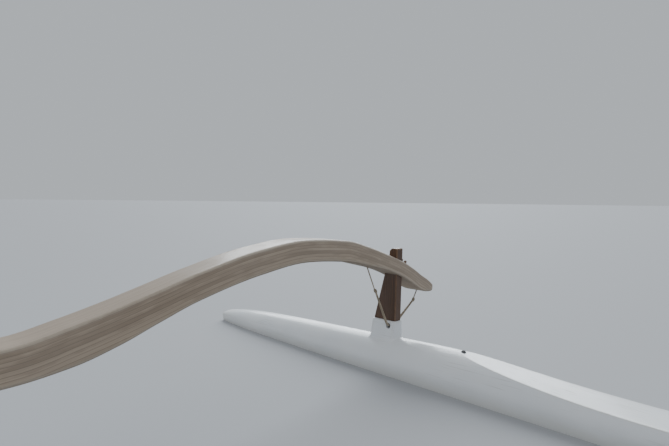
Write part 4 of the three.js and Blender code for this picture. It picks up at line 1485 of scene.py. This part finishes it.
def rope(path, radius):
    """Rings of a laid rope along a path in mm. ROPE_LAY radii go to one turn of its strands."""
    path = np.asarray(path, float)
    length = np.append(0, np.cumsum(np.linalg.norm(np.diff(path, axis=0), axis=1)))
    along = np.linspace(0, length[-1], max(4, round(length[-1] / ROPE_STEP)))
    line = np.column_stack([np.interp(along, length, path[:, k]) for k in range(3)])
    ahead = np.gradient(line, axis=0)
    ahead /= np.linalg.norm(ahead, axis=1)[:, None]
    side = np.cross(ahead[0], ASLANT)
    angle = np.linspace(0, 2 * math.pi, ROPE_POINTS, endpoint=False)
    cosine, sine = np.cos(angle)[:, None], np.sin(angle)[:, None]
    rings = []
    for place, forward, s in zip(line, ahead, along):
        side = side - forward * (side @ forward)
        side /= np.linalg.norm(side)
        lobes = np.cos(LOBES * (angle - 2 * math.pi * s / (ROPE_LAY * radius)))
        reach = radius * (1 - LOBE_DEPTH + LOBE_DEPTH * lobes)
        other = np.cross(forward, side)
        rings.append(place + reach[:, None] * (cosine * side + sine * other))
    return np.array(rings)


def rope_space(bodies):
    """Texture space of ropes: along, around, and nothing through."""
    spaces = []
    for rings in bodies:
        middle = rings.mean(1)
        along = np.append(0, np.cumsum(np.linalg.norm(np.diff(middle, axis=0), axis=1)))
        around = np.linspace(0, 0.02, rings.shape[1], endpoint=False)
        grid = np.meshgrid(along * MM, around, indexing="ij")
        spaces.append(np.column_stack([grid[0].ravel(), grid[1].ravel(), np.zeros(grid[0].size)]))
    return np.concatenate(spaces)


def wound(outline, low, pitch, turns, samples=96):
    """A path that winds round a beam with this outline of (x, z), and goes one pitch along y in each turn."""
    loop = np.concatenate([outline, outline[:1]])
    length = np.append(0, np.cumsum(np.linalg.norm(np.diff(loop, axis=0), axis=1)))
    t = np.linspace(0, turns, round(turns * samples) + 1)
    x, z = (np.interp((t % 1) * length[-1], length, loop[:, k]) for k in (0, 1))
    return np.column_stack([x, low + pitch * t, z])


print("rope can be laid")

# %% [markdown]
# ## Lashings
#
# Nothing is bolted where a boom crosses the hull: it is bound down to the spreader with turn after turn of
# rope, which lets the joint give a little under way. Each lashing is one rope, wound side by side round
# both, and it ends in two crossing turns over the others. Both its ends are tucked in under the spreader.

# %% Lashings
LASHING_Y, LASHING_TURNS, LASHING_PITCH, ROPE_RADIUS = 150, 8, 7.2, 3.4
OVER_GROW, OVER_START, OVER_PITCH, OVER_TURNS = 2.7, 12, 2.6, 2.0  # the two crossing turns


def round_both(x, grow):
    """The outline round the boom and the spreader under it."""
    half, low, high = BOOM_WIDTH / 2 + grow, SPREADER_TOP - SPREADER_THICK - grow, boom_top(0) + grow
    return eased_outline(oblong(x - half, x + half, low, high), BOOM_ROUND + grow, 6)


for end, x in BOOM_X.items():
    for name, side in (("port", 1), ("starboard", -1)):
        first = side * LASHING_Y - LASHING_PITCH * LASHING_TURNS / 2
        under, above = round_both(x, ROPE_RADIUS), round_both(x, OVER_GROW * ROPE_RADIUS)
        turns = wound(under, first, LASHING_PITCH, LASHING_TURNS)
        over = wound(above, first + OVER_START, OVER_PITCH * LASHING_PITCH, OVER_TURNS)
        bodies = [rope(turns, ROPE_RADIUS), rope(over, ROPE_RADIUS)]
        lashing = skin(f"lashing_{end}_{name}_rope", *bodies)
        dress(lashing, rope_fibre, [f"lashing_{end}_{name}"], rope_space(bodies))
print("lashings:", len(lashing.data.polygons), "faces each")

# %% [markdown]
# ## Stays
#
# On each side of the post a thin rope holds the boom down to the float. It hangs through a hole in the boom
# from a stopper knot on its top. A second knot lower down turns it into two strands, and both go into the
# hole through the pedestal. A rope bends round a small radius at each turn, so its path is straight runs
# with short curves between them. The lower knot is a few turns of the rope's own end round it. The stopper
# is an overhand knot, and mathematics has a formula for that: the trefoil.

# %% Bends and knots
COIL_RADIUS, COIL_PITCH, COIL_TURNS, COIL_ROPE, COIL_END = 5.0, 4.6, 3, 2.5, 16
KNOT_SIZE, KNOT_HIGH, KNOT_TURN, KNOT_FOOT, KNOT_TAIL = 2.9, 2.3, 5.6, 8, 9


def bent(points, reach=9, steps=6):
    """Straight runs between points, with a short curve in place of each corner."""
    points = [np.asarray(point, float) for point in points]
    path = [points[0]]
    for before, corner, after in zip(points, points[1:], points[2:]):
        ends = []
        for other in (before, after):
            away = other - corner
            length = np.linalg.norm(away)
            ends.append(corner + away / length * min(reach, ROUND_SHARE * length))
        path += [curve(ends[0], corner, ends[1], t) for t in np.linspace(0, 1, steps + 1)]
    return [*path, points[-1]]


def square_to(axis):
    """Two directions of length 1, square to an axis and to each other."""
    wide = np.cross(axis, (0, 1, 0.2))
    wide /= np.linalg.norm(wide)
    return wide, np.cross(axis, wide)


def overhand(start, axis):
    """The path of a stopper knot: up through its middle, round the trefoil, and out beside it."""
    wide, thick = square_to(axis)
    path = [start - axis * KNOT_FOOT, start]
    for t in np.linspace(0, -KNOT_TURN, 60):
        flat = (math.sin(t) + 2 * math.sin(2 * t)) * wide + (math.cos(t) - 2 * math.cos(2 * t)) * thick
        rise = COIL_ROPE + CLEARANCE + KNOT_HIGH * (1 - math.sin(3 * t))
        path.append(start + KNOT_SIZE * flat + axis * rise)
    leaving = path[-1] - path[-2]
    return [*path, path[-1] + leaving / np.linalg.norm(leaving) * KNOT_TAIL]


def coil(start, axis):
    """The path of a knot: turns round an axis, and the rope's short end beside them."""
    axis = np.asarray(axis, float) / np.linalg.norm(axis)
    wide, thick = square_to(axis)
    path = []
    for t in np.linspace(0, COIL_TURNS, 20 * COIL_TURNS + 1):
        a = 2 * math.pi * t
        path.append(start + axis * COIL_PITCH * t + COIL_RADIUS * (wide * math.cos(a) + thick * math.sin(a)))
    leaving = path[-1] - path[-2]
    leaving /= np.linalg.norm(leaving)
    return [*path, path[-1] + leaving * 0.4 * COIL_END, path[-1] + (leaving * 0.6 + axis * 0.6) * COIL_END]


print("knots can be tied")

# %% Stays
STAY_RADIUS, STAY_KNOT_X, STAY_KNOT_SPREAD, STAY_FOOT_SPREAD = 3.0, -53, 2, 3.75
STAY_BEND, STAY_END = 2, 6
SECOND_START, COIL_START = 0.08, 1.5  # where the second strand and the knot's turns begin, above the knot
STAY_PATH = [
    # how far outside the pedestal, how far above the hole
    (14, 18),
    (3, 4),
    (-6, 0),
]
pedestal_reach = POST_THICK / 2 + PEDESTAL_WALL + PEDESTAL_FLARE * (POST_SHOULDER - STAY_HOLE_Z)

for end, x in BOOM_X.items():
    face = x + BOOM_WIDTH / 2
    for name, side, y, knot_y, knot_z in STAYS:
        top, bottom = boom_top(y), boom_bottom(y)
        knot = np.array([face + STAY_KNOT_X, knot_y, knot_z])
        bend = np.array([x, y, bottom - STAY_BEND])
        mouth = FLOAT_Y + side * pedestal_reach
        strands = []
        for half in (-1, 1):
            foot_x = face + STAY_HOLE_X + half * STAY_FOOT_SPREAD
            down = [(foot_x, mouth + side * out, STAY_HOLE_Z + rise) for out, rise in STAY_PATH]
            inside = (foot_x, FLOAT_Y + side * STAY_END, STAY_HOLE_Z)
            strands.append([knot + (half * STAY_KNOT_SPREAD, 0, 0), *down, inside])
        strands[0] = [(x, y, top - COIL_PITCH), bend, *strands[0]]
        strands[1] = [knot + SECOND_START * (bend - knot), *strands[1]]
        slope = (boom_top(y + 1) - boom_top(y - 1)) / 2
        out_of_top = np.array([0, -slope, 1]) / math.hypot(1, slope)
        along = (bend - knot) / np.linalg.norm(bend - knot)
        bodies = [rope(bent(path), STAY_RADIUS) for path in strands]
        bodies.append(rope(overhand(np.array([x, y, top]), out_of_top), COIL_ROPE))
        bodies.append(rope(coil(knot + along * COIL_START * COIL_PITCH, -along), COIL_ROPE))
        stay = skin(f"stay_{end}_{name}_rope", *bodies)
        dress(stay, rope_fibre, [f"stay_{end}_{name}"], rope_space(bodies))
print("stays:", len(stay.data.polygons), "faces each")

# %% [markdown]
# ## Carrying handles
#
# The canoe is lifted by its ends. A short loop of thicker rope passes through two collars in each deck.

# %% Handles
HANDLE_X, HANDLE_HALF, HANDLE_HIGH, HANDLE_RADIUS = 4280, 78, 40, 5.5
HANDLE_SINK, HANDLE_FULLNESS = 8, 0.7
COLLAR_PROFILE = [(12, -3), (13, 0.5), (12.4, 2.6), (10.4, 3.6), (7.4, 3.4), (6.2, 1.6), (6.0, -3)]

for end, sign in (("bow", 1), ("stern", -1)):
    arch = []
    for t in np.linspace(0, math.pi, 40):
        x = sign * HANDLE_X + HANDLE_HALF * -math.cos(t)
        rise = (HANDLE_HIGH + HANDLE_SINK) * math.sin(t) ** HANDLE_FULLNESS
        arch.append((x, 0, deck_top(x, 0) - HANDLE_SINK + rise))
    bodies = [rope(arch, HANDLE_RADIUS)]
    dress(skin(f"{end}_handle", *bodies), rope_fibre, grain=rope_space(bodies))
    feet = [(x, 0, deck_top(x, 0)) for x in (sign * HANDLE_X - HANDLE_HALF, sign * HANDLE_X + HANDLE_HALF)]
    collars = skin(f"{end}_handle_collars", *(turned(COLLAR_PROFILE, place) for place in feet))
    dress(collars, black_plastic)
print("two handles of", 2 * HANDLE_RADIUS, "mm rope")

# %% [markdown]
# ## Floor
#
# The canoe is shown at its floating height, so the floor lies at its waterline, z = 0. The open hull is
# lower than that inside, so a whole plane would show in it like a flood. The floor therefore has a hole
# with the outline of the hull at that level, drawn from the same sections and hidden in the thickness of
# the shell.

# %% Floor with an opening for the hull
FLOOR_REACHES = (0, 60, 900, 6000, 40000, 250000)
FLOOR_STEP, LEAST_DRAUGHT, LEAST_HALF = 20, 4, 1
FAN = 20  # how much more the rays of the floor spread sideways than the slender opening does

floats_from = [x for x in spaced(-HALF_LENGTH, HALF_LENGTH, FLOOR_STEP) if keel(x) < -LEAST_DRAUGHT]
edge_half = [max(hull_half(x, 0) - WALL / 2, LEAST_HALF) for x in floats_from]
port_edge = np.column_stack([floats_from, edge_half])
opening = np.concatenate([port_edge, port_edge[::-1] * (1, -1)])
direction = np.arctan2(opening[:, 1] * FAN, opening[:, 0])
rings = []
for reach in FLOOR_REACHES:
    circle = np.column_stack([np.cos(direction), np.sin(direction)]) * reach
    rings.append(np.column_stack([opening + circle, np.zeros(len(opening))]))
grid = np.array(rings) * MM
index = np.arange(grid.shape[0] * grid.shape[1]).reshape(grid.shape[:2])
on = np.roll(index, -1, axis=1)
faces = np.stack([index[:-1], index[1:], on[1:], on[:-1]], axis=-1).reshape(-1, 4)
floor_mesh = bpy.data.meshes.new("floor")
floor_mesh.from_pydata(grid.reshape(-1, 3).tolist(), [], faces.tolist())
floor = bpy.data.objects.new("floor", floor_mesh)
bpy.context.scene.collection.objects.link(floor)
floor_finish, tree, shader = material("floor_finish", Base_Color=rgb(0.41, 0.42, 0.44), Roughness=0.85)
floor.data.materials.append(floor_finish)
floor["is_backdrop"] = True
print("floor:", len(floor_mesh.polygons), "faces")

# %% [markdown]
# ## Light
#
# The light is plain and soft. A broad sun from behind and above lies on the top faces and leaves the near
# sides darker, as in the picture. A weaker one from the other side, and an even pale light all round, keep
# every side readable when the canoe is turned.

# %% Light
PALE, PALE_STRENGTH = rgb(0.79, 0.84, 0.89), 0.64


def soft_sun(name, azimuth, elevation, strength, softness, colour):
    """A wide sun. Azimuth is where it stands, in degrees from +X towards +Y."""
    lamp = bpy.data.lights.new(name, "SUN")
    lamp.energy, lamp.angle, lamp.color = strength, math.radians(softness), colour
    a, e = math.radians(azimuth), math.radians(elevation)
    toward = Vector((math.cos(a) * math.cos(e), math.sin(a) * math.cos(e), math.sin(e)))
    obj = bpy.data.objects.new(name, lamp)
    obj.rotation_euler = toward.to_track_quat("Z", "Y").to_euler()
    bpy.context.scene.collection.objects.link(obj)


soft_sun("key", azimuth=126, elevation=33, strength=3.4, softness=52, colour=(0.9, 0.96, 1.0))
soft_sun("fill", azimuth=-70, elevation=40, strength=0.36, softness=60, colour=(1.0, 0.96, 0.92))
world = bpy.data.worlds.new("pale")
world.use_nodes = True
background = world.node_tree.nodes["Background"]
background.inputs[0].default_value, background.inputs[1].default_value = PALE, PALE_STRENGTH
bpy.context.scene.world = world
print("two suns and an even pale light")

# %% [markdown]
# ## Sizes
#
# The shown canoe has to stay inside the box of the imported model. How far each side of its box passes
# that one is printed before the script ends, so that a piece that grew too far is found at once.

# %% Sizes
shown_low, shown_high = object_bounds()
pairs = ((cad_low, shown_low), (shown_high, cad_high))
print("grew by", [[round((a - b) / MM, 1) for a, b in zip(*pair)] for pair in pairs], "mm")
